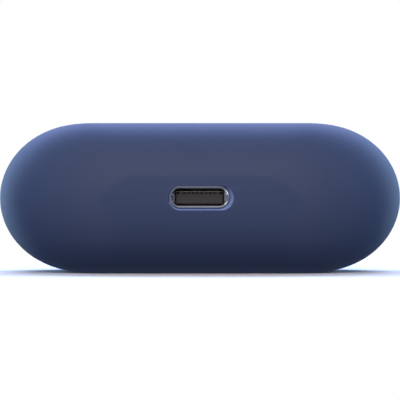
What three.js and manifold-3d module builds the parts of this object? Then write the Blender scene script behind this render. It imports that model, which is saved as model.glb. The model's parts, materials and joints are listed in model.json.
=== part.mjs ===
// A charging case for wireless earbuds, in millimetres.
// The case lies on its front: +X is its width, +Y runs from the charging port to the lid's crown,
// and +Z is its thickness, up from the front (z = 0) to the back, where the hinge and the button are.
// The origin is under the middle of the case.

import * as THREE from 'three';
import { LoftGeometry } from 'three/addons/geometries/LoftGeometry.js';
import { RoundedBoxGeometry } from 'three/addons/geometries/RoundedBoxGeometry.js';
import { mergeVertices } from 'three/addons/utils/BufferGeometryUtils.js';
import Module from 'manifold-3d';

const wasm = await Module();
wasm.setup();

// Driving dimensions of the outer form.
const WIDTH = 61;
const HEIGHT = 46;
const THICKNESS = 22.5;
const CORNER_RADIUS = 20; // of the outline, seen from the front
const CROWN_LENGTH = 13; // how far each end takes to round off to nothing
const CROWN_POWER = 2.25; // 2 would be an ellipse, more is squarer
const END_RATIO = 1.12; // a side's half ellipse, its depth over its half height
const WALL = 1.5;
const SEAM_Y = 8;
const SEAM_GAP = 0.3;
const FIT_GAP = 0.2; // round an insert in its shell
const HAIR = 0.03; // between parts that rest on each other

const HALF_WIDTH = WIDTH / 2;
const HALF_HEIGHT = HEIGHT / 2;
const HALF_THICKNESS = THICKNESS / 2;
const MIDDLE_Z = HALF_THICKNESS;
const BODY_TOP_Y = SEAM_Y - SEAM_GAP / 2;
const LID_FOOT_Y = SEAM_Y + SEAM_GAP / 2;
const INSIDE_BACK_Z = THICKNESS - WALL;

// Hinge, whose axis runs along X just under the back face, in the seam.
const HINGE_DEPTH = 1;
const HINGE_Z = THICKNESS - HINGE_DEPTH;
const LID_SWING = 105; // degrees
const GROOVE_HALF_ANGLE = THREE.MathUtils.degToRad( LID_SWING / 2 + 2 );
const KNUCKLE_RADIUS = 0.95;
const PIN_RADIUS = 0.4;
const FIXED_BORE = 0.42;
const RUNNING_BORE = 0.45;
const HINGE_WINDOW = { halfWidth: 8.2, reach: 1.25 };
const BASE_KNUCKLES = [ [ - 7.8, - 5.4 ], [ 5.4, 7.8 ] ];
const LEAF_KNUCKLES = [ [ - 5.2, - 2.6 ], [ 2.6, 5.2 ] ];
const HINGE_PLATE = {
	halfWidth: 7.8,
	near: 1.4,
	far: 4.9,
	top: INSIDE_BACK_Z - 0.3,
	thickness: 0.4
};
const HINGE_SCREW = {
	x: 5.2,
	reach: 3.7,
	shaft: 0.5,
	pilot: 0.58,
	clearance: 0.6,
	head: 0.95,
	headHeight: 0.35,
	length: 1.3
};
const HINGE_CLEARANCE = { halfWidth: 8.6, z: HINGE_PLATE.top - HINGE_PLATE.thickness - 0.3 };
const HINGE_SPRING = { radius: 0.68, wireRadius: 0.12, halfLength: 2.1, turns: 5.25, leg: 1.2 };

// Charging port in the middle of the bottom face.
const PORT_X = - 0.08;
const PORT_Z = MIDDLE_Z + 0.12;
const PORT_FACE_Y = - HALF_HEIGHT + 0.12;
const PORT_DEPTH = 7.2;
const PORT_SHELL = { width: 8.94, height: 3.26 };
const PORT_MOUTH = { width: 8.3, height: 2.72 };
const PORT_OPENING = { width: 7.15, height: 2.36, corner: 0.45 };
const PORT_FUNNEL = 0.5;
const PORT_HOLE = { x: 0.12, z: MIDDLE_Z - 0.02, width: 9.6, height: 3.66, lip: 0.1, taper: 0.3, gap: 0.06 };
const INSULATOR = { halfWidth: 3.45, low: PORT_Z - 1, high: PORT_Z + 0.88, face: 1.3, lip: 0.13 };
const INSULATOR_FLANGE = { gap: 0.05, thickness: 0.6 }; // closes the back of the shell
const NOTCH = { width: 0.32, height: 0.3 };
const CONTACT = {
	count: 8,
	pitch: 0.63,
	width: 0.2,
	thickness: 0.14,
	recess: 2.6,
	strip: 0.2,
	stripGap: 0.1
};
const KEY_NOTCH_X = 3.15;
const GASKET = { near: - 21.1, far: - 20.4, gap: 0.1, width: 1.1 };
const BRACKET = { near: - 19.6, far: - 16.6, gap: 0.06, thickness: 0.3, foot: 7.6, screwX: 6.3 };
const BOARD_SCREW = { shaft: 0.4, head: 0.85, headHeight: 0.35, hole: 0.5 };

// Earbud wells, one each side, with two sprung contacts in the floor of each.
const WELL_X = 13.6;
const WELL_Z = MIDDLE_Z - 0.3;
const WELL_POWER = 2.6;
const FLOOR_RADIUS = 0.25; // of the well's radius, nearly flat
const SIDES = [ { side: 'left', sign: - 1 }, { side: 'right', sign: 1 } ];
const DECK = { low: 6.2, high: 7.2 };
const WITHIN_DECK_Y = ( DECK.low + DECK.high ) / 2;
const ABOVE = 2; // how far a cutter stands proud of the face it sinks into
const WEBS = [ // that stiffen the wells
	{ halfWidth: 6, foot: - 9.2, low: 15.4, high: 16.2 },
	{ halfWidth: 10, foot: - 1.5, low: 3.4, high: 4.2 }
];
const WELL = { rx: 9.8, rz: 7.4, depth: 12, wall: 1 };
const POCKET = { x: 6.2, z: - 2.6, rx: 4.4, rz: 4, depth: 9.5 };
const LINER = { low: 8.9, high: 9.9 };
const RECESS = { rx: 8.8, rz: 6.6, depth: 8.5, wall: 1 };
const WELL_FLOOR_Y = DECK.high - WELL.depth;
const PLUNGER_SPREAD = 2;
const PLUNGER = {
	tip: 0.42,
	rise: 0.6,
	easing: 0.18,
	flange: 0.66,
	flangeHeight: 0.35,
	gap: 0.1,
	hole: 0.56
};
const BLOCK = {
	width: 7,
	height: 3.4,
	top: WELL_FLOOR_Y - WELL.wall - 0.15,
	depth: 3,
	bore: 0.76,
	floor: 0.3
};
const CONTACT_FLEX = { halfWidth: 17, halfHeight: 0.9, gap: 0.1, thickness: 0.15 };
const CONTACT_SPRING = { radius: 0.45, wireRadius: 0.09, turns: 3, gap: 0.05 };
const BUD_MAGNET = { z: 4.3, radius: 2, height: 1.4, gap: 0.1 };

// Setup button on the back, in the middle of the charging coil.
const BUTTON_Y = - 5.8;
const BUTTON = {
	cap: 2.5,
	hole: 2.7,
	flange: 3.1,
	flangeTop: INSIDE_BACK_Z - 0.15,
	flangeLow: INSIDE_BACK_Z - 0.65,
	stem: 1,
	sunk: 0.1,
	easing: 0.2,
	foot: 18.95
};
const COIL = { inner: 4.3, outer: 8, top: INSIDE_BACK_Z - 0.5, thickness: 0.45 };
const FERRITE = { inner: 4.1, outer: 8.4, gap: 0.1, thickness: 0.3 };
const BUTTON_BOARD = { halfWidth: 4.5, reach: 3.3, top: 16.9, thickness: 0.6 };
const BUTTON_SWITCH = { halfWidth: 1.6, body: 1.3, dome: 0.8, easing: 0.2, top: 18.6 };
const BUTTON_SPRING = { radius: 2.6, wireRadius: 0.12, turns: 4, gap: 0.05 };

// Status light on the front.
const LIGHT_Y = 2.4;
const LIGHT = { radius: 0.75, hole: 0.85, flange: 1.3, sunk: 0.05, flangeLow: WALL + 0.15, top: WALL + 0.45 };
const LIGHT_BOARD = { halfWidth: 3.5, reach: 2, low: LIGHT.top + 0.6, thickness: 0.55 };
const STATUS_LIGHT = { halfWidth: 0.8, halfLength: 0.4, low: LIGHT.top + 0.05 };
const LID_SENSOR = { left: 1.9, right: 3.3, near: LIGHT_Y + 0.7, far: LIGHT_Y + 1.7, low: LIGHT.top + 0.1 };

// Closing magnets at the front of the seam, one pair in the body and one in the lid.
const LATCH_MAGNET = { x: 6.5, width: 4, length: 2.9, gap: 0.1, low: WALL + 0.4, high: 3.1 };

// Main board, lying level under the port's shell.
const BOARD = {
	halfWidth: 15.5,
	near: - 20.2,
	far: - 9.7,
	top: PORT_Z - PORT_SHELL.height / 2 - 0.04,
	thickness: 0.7,
	corner: 3
};
const ON_BOARD = BOARD.top + HAIR;
const CHIPS = {
	charge_controller: { left: - 13, near: - 14.6, width: 4, length: 4, height: 0.8 },
	main_processor: { left: - 7.2, near: - 14.6, width: 4, length: 4, height: 0.8 },
	wireless_power_chip: { left: 3.2, near: - 14.2, width: 3.4, length: 3.4, height: 0.7 }
};
const INDUCTOR = { left: 9, near: - 14.2, width: 3.2, length: 3.2, height: 1.4 };
const BATTERY = { halfWidth: 16, near: - 16.8, far: - 9.7, low: 3.6, high: 8.9, rounding: 0.8 };
const BATTERY_LEAD = { halfWidth: 2, near: BATTERY.far + 0.1, thickness: 0.15, low: 5.5, tab: 2 };
const BATTERY_FOAM = {
	halfWidth: 9,
	near: - 15,
	far: - 11,
	low: BATTERY.low - 0.75,
	high: BATTERY.low - 0.1
};

// Colours and surfaces.
const PLASTIC = { color: 0x3a4768, roughness: 0.6, metalness: 0 };
const LINING = { color: 0x313c5a, roughness: 0.45, metalness: 0 };
const DARK = { color: 0x242528, roughness: 0.6, metalness: 0 };
const RUBBER = { color: 0x202226, roughness: 0.8, metalness: 0 };
const STEEL = { color: 0xa9acb0, roughness: 0.3, metalness: 1 };
const GOLD = { color: 0xd0a65a, roughness: 0.3, metalness: 1 };
const COPPER = { color: 0xb4693a, roughness: 0.4, metalness: 1 };
const MAGNET = { color: 0xb8b9bc, roughness: 0.25, metalness: 1 };
const LAMINATE = { color: 0x1c4a33, roughness: 0.5, metalness: 0 };
const FLEX = { color: 0xa8702a, roughness: 0.5, metalness: 0 };
const POUCH = { color: 0x9ea0a3, roughness: 0.5, metalness: 0.3 };
const CLEAR = { color: 0xe8ecef, roughness: 0.2, metalness: 0 };

// Solids.

function solid( geometry ) {

	const bare = new THREE.BufferGeometry();
	bare.setAttribute( 'position', geometry.getAttribute( 'position' ) );
	bare.setIndex( geometry.getIndex() );
	const merged = mergeVertices( bare, 1e-4 );
	const vertProperties = merged.attributes.position.array;
	const triVerts = new Uint32Array( merged.index.array );
	return new wasm.Manifold( new wasm.Mesh( { numProp: 3, vertProperties, triVerts } ) );

}

function join( ...geometries ) {

	return geometries.map( solid ).reduce( ( whole, piece ) => whole.add( piece ) );

}

function cut( whole, ...geometries ) {

	return geometries.map( solid ).reduce( ( left, piece ) => left.subtract( piece ), whole );

}

function geometryOf( manifold ) {

	const mesh = manifold.getMesh();
	const geometry = new THREE.BufferGeometry();
	const positions = new Float32Array( mesh.vertProperties );
	geometry.setAttribute( 'position', new THREE.BufferAttribute( positions, 3 ) );
	geometry.setIndex( new THREE.BufferAttribute( new Uint32Array( mesh.triVerts ), 1 ) );
	geometry.computeVertexNormals();
	return geometry;

}

const group = new THREE.Group();

function add( name, shape, surface ) {

	const geometry = shape instanceof THREE.BufferGeometry ? shape : geometryOf( shape );
	const mesh = new THREE.Mesh( geometry, new THREE.MeshStandardMaterial( surface ) );
	mesh.name = name;
	group.add( mesh );
	return mesh;

}

// A box from its low and high corners.
function box( [ x0, y0, z0 ], [ x1, y1, z1 ] ) {

	const geometry = new THREE.BoxGeometry( x1 - x0, y1 - y0, z1 - z0 );
	return geometry.translate( ( x0 + x1 ) / 2, ( y0 + y1 ) / 2, ( z0 + z1 ) / 2 );

}

// A stepped round solid from [ radius, height ] pairs, turned about Y.
function turned( profile, segments = 16 ) {

	const points = [ [ 0, profile[ 0 ][ 1 ] ], ...profile, [ 0, profile.at( - 1 )[ 1 ] ] ];
	return new THREE.LatheGeometry( points.map( ( [ r, h ] ) => new THREE.Vector2( r, h ) ), segments );

}

const alongZ = ( geometry ) => geometry.rotateX( Math.PI / 2 );
const alongX = ( geometry ) => geometry.rotateZ( - Math.PI / 2 );

// A flat ring with its axis along Z.
function flatRing( inner, outer, low, high, segments ) {

	const corners = [ [ inner, low ], [ outer, low ], [ outer, high ], [ inner, high ], [ inner, low ] ];
	const profile = corners.map( ( [ r, h ] ) => new THREE.Vector2( r, h ) );
	return alongZ( new THREE.LatheGeometry( profile, segments ) );

}

// A round wire along a list of points.
function wire( points, radius, steps, sides = 5 ) {

	const section = new THREE.Shape();
	section.absarc( 0, 0, radius, 0, 2 * Math.PI );
	const extrudePath = new THREE.CatmullRomCurve3( points );
	const curveSegments = Math.ceil( sides / 2 );
	return new THREE.ExtrudeGeometry( section, { steps, curveSegments, extrudePath } );

}

// Points of a helix about Y, from the height low to high.
function helix( radius, low, high, turns, stepsPerTurn ) {

	const count = Math.round( turns * stepsPerTurn );
	return Array.from( { length: count + 1 }, ( _, i ) => {

		const angle = 2 * Math.PI * i / stepsPerTurn;
		const y = THREE.MathUtils.lerp( low, high, i / count );
		return new THREE.Vector3( radius * Math.cos( angle ), y, radius * Math.sin( angle ) );

	} );

}

// The case's outer form, and the same form a distance inside it.

function roundOff( t, power ) {

	return Math.pow( Math.max( 0, 1 - Math.pow( Math.min( t, 1 ), power ) ), 1 / power );

}

function halfWidthAt( y, inset ) {

	const radius = CORNER_RADIUS - inset;
	const past = Math.max( 0, Math.abs( y ) - ( HALF_HEIGHT - CORNER_RADIUS ) );
	return HALF_WIDTH - CORNER_RADIUS + radius * roundOff( past / radius, 2 );

}

function halfThicknessAt( y, inset ) {

	const length = CROWN_LENGTH - inset;
	const past = Math.max( 0, Math.abs( y ) - ( HALF_HEIGHT - CROWN_LENGTH ) );
	return ( HALF_THICKNESS - inset ) * roundOff( past / length, CROWN_POWER );

}

const ARC_STEPS = 14;
const CORNER_STEPS = 4;
const BOWL_STEPS = 5;
const TIP_ANGLE = 5;
const CROWN_STEPS = 7;

// One cross-section: straight front and back, a half ellipse at each side.
function sectionAt( y, inset, at = y ) {

	const halfThickness = halfThicknessAt( y, inset );
	const bulge = END_RATIO * halfThickness;
	const straight = halfWidthAt( y, inset ) - bulge;
	const points = [];
	for ( const sign of [ - 1, 1 ] ) {

		for ( let i = 0; i <= ARC_STEPS; i ++ ) {

			const angle = Math.PI * ( i / ARC_STEPS - 0.5 );
			const x = sign * ( straight + bulge * Math.cos( angle ) );
			points.push( new THREE.Vector3( x, at, MIDDLE_Z - sign * halfThickness * Math.sin( angle ) ) );

		}

	}

	return points;

}

// The form from the plane y = base to the tip of the end that sign names.
function pebble( inset, base, sign ) {

	const length = CROWN_LENGTH - inset;
	const shoulder = HALF_HEIGHT - CROWN_LENGTH;
	const sections = [ sectionAt( sign * base, inset ) ];
	const cornerStart = HALF_HEIGHT - CORNER_RADIUS;
	const between = ( cornerStart + shoulder ) / 2;
	for ( const y of [ - between, - cornerStart, cornerStart, between ] ) {

		if ( y > base ) sections.push( sectionAt( sign * y, inset ) );

	}

	for ( let i = 0; i <= CROWN_STEPS; i ++ ) {

		const angle = THREE.MathUtils.lerp( 90, TIP_ANGLE, i / CROWN_STEPS );
		const past = length * Math.pow( Math.cos( THREE.MathUtils.degToRad( angle ) ), 2 / CROWN_POWER );
		const y = shoulder + ( i ? past : 0 );
		const tip = i === CROWN_STEPS ? HALF_HEIGHT - inset : y;
		sections.push( sectionAt( sign * y, inset, sign * tip ) );

	}

	if ( sign < 0 ) sections.reverse();
	return new LoftGeometry( sections, { capStart: true, capEnd: true } );

}

// A slab of the form between two heights.
function slab( inset, low, high ) {

	const sections = [ sectionAt( low, inset ), sectionAt( high, inset ) ];
	return new LoftGeometry( sections, { capStart: true, capEnd: true } );

}

// The relief that lets the lid fold back, a wedge whose edge is the hinge axis.
function foldGroove() {

	const height = HINGE_DEPTH + 1;
	const halfOpening = height * Math.tan( GROOVE_HALF_ANGLE );
	const wedge = new THREE.Shape( [
		new THREE.Vector2( 0, 0 ),
		new THREE.Vector2( halfOpening, height ),
		new THREE.Vector2( - halfOpening, height )
	] );
	const prism = new THREE.ExtrudeGeometry( wedge, { depth: WIDTH, bevelEnabled: false } );
	prism.rotateY( Math.PI / 2 ).rotateX( Math.PI / 2 );
	return prism.translate( - HALF_WIDTH, SEAM_Y, HINGE_Z );

}

function hingeWindow() {

	const { halfWidth, reach } = HINGE_WINDOW;
	return box( [ - halfWidth, SEAM_Y - reach, HINGE_Z - 2 ], [ halfWidth, SEAM_Y + reach, THICKNESS + 1 ] );

}

// Blind holes up into the back wall for the two screws of one hinge plate.
function hingeScrewHoles( direction ) {

	const { x, reach, pilot, length } = HINGE_SCREW;
	return [ - 1, 1 ].map( ( sign ) => {

		const depth = 3;
		const hole = alongZ( new THREE.CylinderGeometry( pilot, pilot, depth, 16 ) );
		const end = HINGE_PLATE.top + length + 0.1;
		return hole.translate( sign * x, SEAM_Y + direction * reach, end - depth / 2 );

	} );

}

// Stadium and rounded-rectangle outlines of the port, in X and Z.
function outline( width, height, corner, x, y, z = PORT_Z ) {

	const points = [];
	const centres = [ [ 1, - 1 ], [ 1, 1 ], [ - 1, 1 ], [ - 1, - 1 ] ];
	centres.forEach( ( [ sx, sz ], quarter ) => {

		for ( let i = 0; i <= CORNER_STEPS; i ++ ) {

			const angle = Math.PI / 2 * ( quarter - 1 + i / CORNER_STEPS );
			const px = sx * ( width / 2 - corner ) + corner * Math.cos( angle );
			const pz = sz * ( height / 2 - corner ) + corner * Math.sin( angle );
			points.push( new THREE.Vector3( x + px, y, z + pz ) );

		}

	} );
	return points.reverse();

}

// Straight or tapering passage between two such outlines.
function passage( from, to ) {

	return new LoftGeometry( [ from, to ], { capStart: true, capEnd: true } );

}

function stadium( { width, height }, x, y, grow = 0, z = PORT_Z ) {

	const tall = height + 2 * grow;
	return outline( width + 2 * grow, tall, tall / 2 - 0.01, x, y, z );

}

// Body shell: the lower pebble, with the port's hole, the button's and the light's. The port's hole
// tapers from a mouth in the middle of the face down to the shell, which sits a little off the middle.
function bodyShell() {

	const outer = solid( pebble( 0, - BODY_TOP_Y, - 1 ) );
	const { x, z, lip, taper, gap } = PORT_HOLE;
	const face = - HALF_HEIGHT;
	const mouth = ( y ) => stadium( PORT_HOLE, x, y, 0, z );
	const round = ( y ) => stadium( PORT_SHELL, PORT_X, y, gap );
	const button = alongZ( new THREE.CylinderGeometry( BUTTON.hole, BUTTON.hole, 6, 24 ) );
	const light = alongZ( new THREE.CylinderGeometry( LIGHT.hole, LIGHT.hole, 6, 20 ) );
	return cut(
		outer,
		pebble( WALL, - BODY_TOP_Y - 1, - 1 ),
		passage( mouth( face - 1 ), mouth( face + lip ) ),
		passage( mouth( face + lip ), round( face + lip + taper ) ),
		passage( round( face - 1 ), round( face + 4 ) ),
		button.translate( 0, BUTTON_Y, THICKNESS ),
		light.translate( 0, LIGHT_Y, 0 ),
		foldGroove(),
		hingeWindow(),
		...hingeScrewHoles( - 1 )
	);

}

function lidShell() {

	const outer = solid( pebble( 0, LID_FOOT_Y, 1 ) );
	const hollow = pebble( WALL, LID_FOOT_Y - 1, 1 );
	return cut( outer, hollow, foldGroove(), hingeWindow(), ...hingeScrewHoles( 1 ) );

}

// A bowl whose mouth is at y = 0 and whose floor is at y = -depth, with a straight lip above.
function bowl( rx, rz, depth, lip, segments = 22 ) {

	const profile = [];
	for ( let i = 1; i <= BOWL_STEPS; i ++ ) {

		const angle = Math.PI / 2 * i / BOWL_STEPS;
		const r = Math.pow( Math.sin( angle ), 2 / WELL_POWER );
		const y = - depth * Math.pow( Math.max( 0, Math.cos( angle ) ), 2 / WELL_POWER );
		profile.push( [ r, i === BOWL_STEPS ? 0 : y ] );

	}

	const floor = [ [ 0, - depth ], [ FLOOR_RADIUS, - depth * roundOff( FLOOR_RADIUS, WELL_POWER ) ] ];
	const pairs = [ ...floor, ...profile, [ 1, lip ], [ 0, lip ] ];
	const points = pairs.map( ( [ r, h ] ) => new THREE.Vector2( r, h ) );
	return new THREE.LatheGeometry( points, segments ).scale( rx, 1, rz );

}

// Both bowls of a pair, mirrored left and right and grown by a wall.
function bowls( { rx, rz, depth }, grow, lip, x, z ) {

	return SIDES.map( ( { sign } ) => {

		const one = bowl( rx + grow, rz + grow, depth + grow, lip );
		return one.translate( sign * x, 0, z );

	} );

}

function hingeNotch( low, high ) {

	const { halfWidth, z } = HINGE_CLEARANCE;
	return box( [ - halfWidth, low, z ], [ halfWidth, high, THICKNESS ] );

}

// Earbud cradle: the deck in the mouth of the body, with a well for each earbud.
function earbudCradle() {

	const wellBowls = ( grow, lip ) => [
		...bowls( WELL, grow, lip, WELL_X, WELL_Z ),
		...bowls( POCKET, grow, lip, WELL_X - POCKET.x, WELL_Z + POCKET.z )
	].map( ( geometry ) => geometry.translate( 0, DECK.high, 0 ) );
	const webs = WEBS.map( ( { halfWidth, foot, low, high } ) => {

		return box( [ - halfWidth, foot, low ], [ halfWidth, WITHIN_DECK_Y, high ] );

	} );
	const deck = slab( WALL + FIT_GAP, DECK.low, DECK.high );
	const whole = join( deck, ...wellBowls( WELL.wall, WITHIN_DECK_Y - DECK.high ), ...webs );
	const notch = hingeNotch( DECK.low - 1, DECK.high + 1 );
	return cut( whole, ...wellBowls( 0, ABOVE ), ...contactHoles(), notch );

}

// Places of the four sprung contacts.
function contactPlaces() {

	return SIDES.flatMap( ( { side, sign } ) => [
		{ name: `${ side }_outer`, x: sign * ( WELL_X + PLUNGER_SPREAD ) },
		{ name: `${ side }_inner`, x: sign * ( WELL_X - PLUNGER_SPREAD ) }
	] );

}

function contactHoles() {

	return contactPlaces().map( ( { x } ) => {

		const hole = new THREE.CylinderGeometry( PLUNGER.hole, PLUNGER.hole, 6, 14 );
		return hole.translate( x, WELL_FLOOR_Y, WELL_Z );

	} );

}

// Lid liner: the lid's deck, with a recess over each earbud.
function lidLiner() {

	const recesses = ( grow, lip ) => bowls( RECESS, grow, lip, WELL_X, WELL_Z )
		.map( ( geometry ) => geometry.rotateZ( Math.PI ).translate( 0, LINER.low, 0 ) );
	const deck = slab( WALL + FIT_GAP, LINER.low, LINER.high );
	const whole = join( deck, ...recesses( RECESS.wall, ( LINER.low - LINER.high ) / 2 ) );
	return cut( whole, ...recesses( 0, ABOVE ), hingeNotch( LINER.low - 1, LINER.high + 1 ) );

}

// Hinge: a plate and its knuckles on each side of the seam, the pin and its spring.

function knuckle( [ from, to ], bore ) {

	const outside = [ [ KNUCKLE_RADIUS, from ], [ KNUCKLE_RADIUS, to ] ];
	const tube = [ [ bore, from ], ...outside, [ bore, to ], [ bore, from ] ];
	const profile = tube.map( ( [ r, h ] ) => new THREE.Vector2( r, h ) );
	return alongX( new THREE.LatheGeometry( profile, 18 ) ).translate( 0, SEAM_Y, HINGE_Z );

}

function hingePlate( knuckles, bore, direction ) {

	const { halfWidth, near, far, top, thickness } = HINGE_PLATE;
	const across = ( a, b ) => [ SEAM_Y + direction * a, SEAM_Y + direction * b ].sort( ( p, q ) => p - q );
	const [ plateLow, plateHigh ] = across( near, far );
	const [ armLow, armHigh ] = across( 0, near + 0.5 );
	const plate = box( [ - halfWidth, plateLow, top - thickness ], [ halfWidth, plateHigh, top ] );
	const arms = knuckles.map( ( [ x0, x1 ] ) => {

		return box( [ x0, armLow, top - thickness ], [ x1, armHigh, top ] );

	} );
	const barrels = knuckles.map( ( span ) => knuckle( span, bore ) );
	const holes = [ - 1, 1 ].map( ( sign ) => {

		const { x, reach, clearance } = HINGE_SCREW;
		const hole = alongZ( new THREE.CylinderGeometry( clearance, clearance, 2, 16 ) );
		return hole.translate( sign * x, SEAM_Y + direction * reach, top );

	} );
	return cut( join( plate, ...arms, ...barrels ), ...holes );

}

// A slotted screw standing on its head about Y, with the underside of the head at y = 0.
const SLOT_HALF = 0.12;

function slottedScrew( { shaft, head, headHeight }, length ) {

	const profile = [ [ head, - headHeight ], [ head, 0 ], [ shaft, 0 ], [ shaft, length ] ];
	const slot = box( [ - head, - headHeight - 1, - SLOT_HALF ], [ head, - headHeight * 0.6, SLOT_HALF ] );
	return geometryOf( cut( solid( turned( profile, 16 ) ), slot ) );

}

function hingeScrew( sign, direction ) {

	const under = HINGE_PLATE.top - HINGE_PLATE.thickness - HAIR;
	const length = HINGE_PLATE.top + HINGE_SCREW.length - under;
	const screw = alongZ( slottedScrew( HINGE_SCREW, length ) );
	return screw.translate( sign * HINGE_SCREW.x, SEAM_Y + direction * HINGE_SCREW.reach, under );

}

function hingePin() {

	const [ first, last ] = [ BASE_KNUCKLES[ 0 ][ 0 ], BASE_KNUCKLES.at( - 1 )[ 1 ] ];
	const pin = turned( [ [ PIN_RADIUS, first ], [ PIN_RADIUS, last ] ], 24 );
	return alongX( pin ).translate( 0, SEAM_Y, HINGE_Z );

}

function hingeSpring() {

	const { radius, wireRadius, halfLength, leg } = HINGE_SPRING;
	const coil = helix( radius, - halfLength, halfLength, HINGE_SPRING.turns, 8 );
	const points = coil.map( ( p ) => new THREE.Vector3( p.y, p.z, - p.x ) );
	const [ head, tail ] = [ points[ 0 ], points.at( - 1 ) ];
	points.unshift( new THREE.Vector3( head.x, - leg, head.z ) );
	points.push( new THREE.Vector3( tail.x, leg, tail.z ) );
	return wire( points, wireRadius, points.length, 4 ).translate( 0, SEAM_Y, HINGE_Z );

}

// Charging port: metal shell with a funnelled mouth, and the insulator with its contacts.

function portShell() {

	const back = PORT_FACE_Y + PORT_DEPTH;
	const shell = passage( stadium( PORT_SHELL, PORT_X, PORT_FACE_Y ), stadium( PORT_SHELL, PORT_X, back ) );
	const { width, height, corner } = PORT_OPENING;
	const throat = ( y ) => outline( width, height, corner, PORT_X, y );
	const mouth = PORT_FACE_Y + PORT_FUNNEL;
	const funnel = passage( stadium( PORT_MOUTH, PORT_X, PORT_FACE_Y - 0.01 ), throat( mouth ) );
	return cut( solid( shell ), passage( throat( mouth - 0.01 ), throat( back + 1 ) ), funnel );

}

const contactXs = Array.from( { length: CONTACT.count }, ( _, i ) => {

	return ( i - ( CONTACT.count - 1 ) / 2 ) * CONTACT.pitch;

} );

// Insulator: a block with a channel for each contact under its top lip, a key notch at each end, and
// a flange that fills the back of the shell.
function portInsulator() {

	const { low, high, halfWidth, face, lip } = INSULATOR;
	const front = PORT_FACE_Y + face;
	const back = PORT_FACE_Y + PORT_DEPTH;
	const block = box( [ PORT_X - halfWidth, front, low ], [ PORT_X + halfWidth, back, high ] );
	const { gap, thickness } = INSULATOR_FLANGE;
	const { width, height, corner } = PORT_OPENING;
	const filled = ( y ) => outline( width - 2 * gap, height - 2 * gap, corner, PORT_X, y );
	const flange = passage( filled( back - thickness ), filled( back ) );
	const channels = [ - KEY_NOTCH_X, ...contactXs, KEY_NOTCH_X ].map( ( x ) => box(
		[ PORT_X + x - NOTCH.width / 2, front - 1, high - lip - NOTCH.height ],
		[ PORT_X + x + NOTCH.width / 2, back + 1, high - lip ]
	) );
	return cut( join( block, flange ), ...channels );

}

// Contact comb: a blade in each channel, joined behind the insulator by the strip that stands on the board.
function portContacts() {

	const front = PORT_FACE_Y + INSULATOR.face + CONTACT.recess;
	const back = PORT_FACE_Y + PORT_DEPTH + CONTACT.stripGap;
	const top = INSULATOR.high - INSULATOR.lip - ( NOTCH.height - CONTACT.thickness ) / 2;
	const blades = contactXs.map( ( x ) => box(
		[ PORT_X + x - CONTACT.width / 2, front, top - CONTACT.thickness ],
		[ PORT_X + x + CONTACT.width / 2, back + CONTACT.strip / 2, top ]
	) );
	const reach = contactXs.at( - 1 ) + CONTACT.width / 2;
	const strip = box( [ PORT_X - reach, back, ON_BOARD ], [ PORT_X + reach, back + CONTACT.strip, top ] );
	return join( strip, ...blades );

}

function portGasket() {

	const { near, far, gap, width } = GASKET;
	const around = ( y, grow ) => stadium( PORT_SHELL, PORT_X, y, grow );
	const ring = passage( around( near, width ), around( far, width ) );
	return cut( solid( ring ), passage( around( near - 1, gap ), around( far + 1, gap ) ) );

}

// Strap over the port's shell, screwed to the board on both sides.
function portBracket() {

	const { near, far, gap, thickness, foot, screwX } = BRACKET;
	const inner = PORT_SHELL.width / 2 + gap;
	const roof = PORT_Z + PORT_SHELL.height / 2 + gap;
	const outer = inner + thickness;
	const strap = box( [ PORT_X - outer, near, roof ], [ PORT_X + outer, far, roof + thickness ] );
	const legs = [ - 1, 1 ].flatMap( ( sign ) => {

		const [ x0, x1, x2 ] = [ inner, outer, foot ].map( ( x ) => PORT_X + sign * x );
		const upright = [ Math.min( x0, x1 ), Math.max( x0, x1 ) ];
		const flat = [ Math.min( x0, x2 ), Math.max( x0, x2 ) ];
		return [
			box( [ upright[ 0 ], near, ON_BOARD ], [ upright[ 1 ], far, roof + thickness ] ),
			box( [ flat[ 0 ], near, ON_BOARD ], [ flat[ 1 ], far, ON_BOARD + thickness ] )
		];

	} );
	return cut( join( strap, ...legs ), ...boardHoles( screwX ) );

}

function boardHoles( screwX ) {

	return [ - 1, 1 ].map( ( sign ) => {

		const hole = alongZ( new THREE.CylinderGeometry( BOARD_SCREW.hole, BOARD_SCREW.hole, 4, 16 ) );
		return hole.translate( PORT_X + sign * screwX, ( BRACKET.near + BRACKET.far ) / 2, BOARD.top );

	} );

}

function boardScrew( sign ) {

	const under = ON_BOARD + BRACKET.thickness + HAIR;
	const length = under - BOARD.top + BOARD.thickness;
	const screw = alongZ( slottedScrew( BOARD_SCREW, length ) ).rotateX( Math.PI );
	return screw.translate( PORT_X + sign * BRACKET.screwX, ( BRACKET.near + BRACKET.far ) / 2, under );

}

// Main board: a plate with rounded corners and the bracket's two screw holes.
function mainBoard() {

	const { halfWidth: x, near, far, top, thickness, corner } = BOARD;
	const plate = new THREE.Shape();
	plate.moveTo( - x + corner, near );
	plate.lineTo( x - corner, near );
	plate.absarc( x - corner, near + corner, corner, - Math.PI / 2, 0 );
	plate.lineTo( x, far );
	plate.lineTo( - x, far );
	plate.absarc( - x + corner, near + corner, corner, Math.PI, 1.5 * Math.PI );
	const shape = { depth: thickness, bevelEnabled: false, curveSegments: 3 };
	const board = new THREE.ExtrudeGeometry( plate, shape );
	return cut( solid( board.translate( 0, 0, top - thickness ) ), ...boardHoles( BRACKET.screwX ) );

}

// A chip standing on the board.
function chip( { left, near, width, length, height } ) {

	return box( [ left, near, ON_BOARD ], [ left + width, near + length, ON_BOARD + height ] );

}

function batteryCell() {

	const { halfWidth, near, far, low, high, rounding } = BATTERY;
	const cell = new RoundedBoxGeometry( 2 * halfWidth, far - near, high - low, 2, rounding );
	return cell.translate( 0, ( near + far ) / 2, ( low + high ) / 2 );

}

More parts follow.
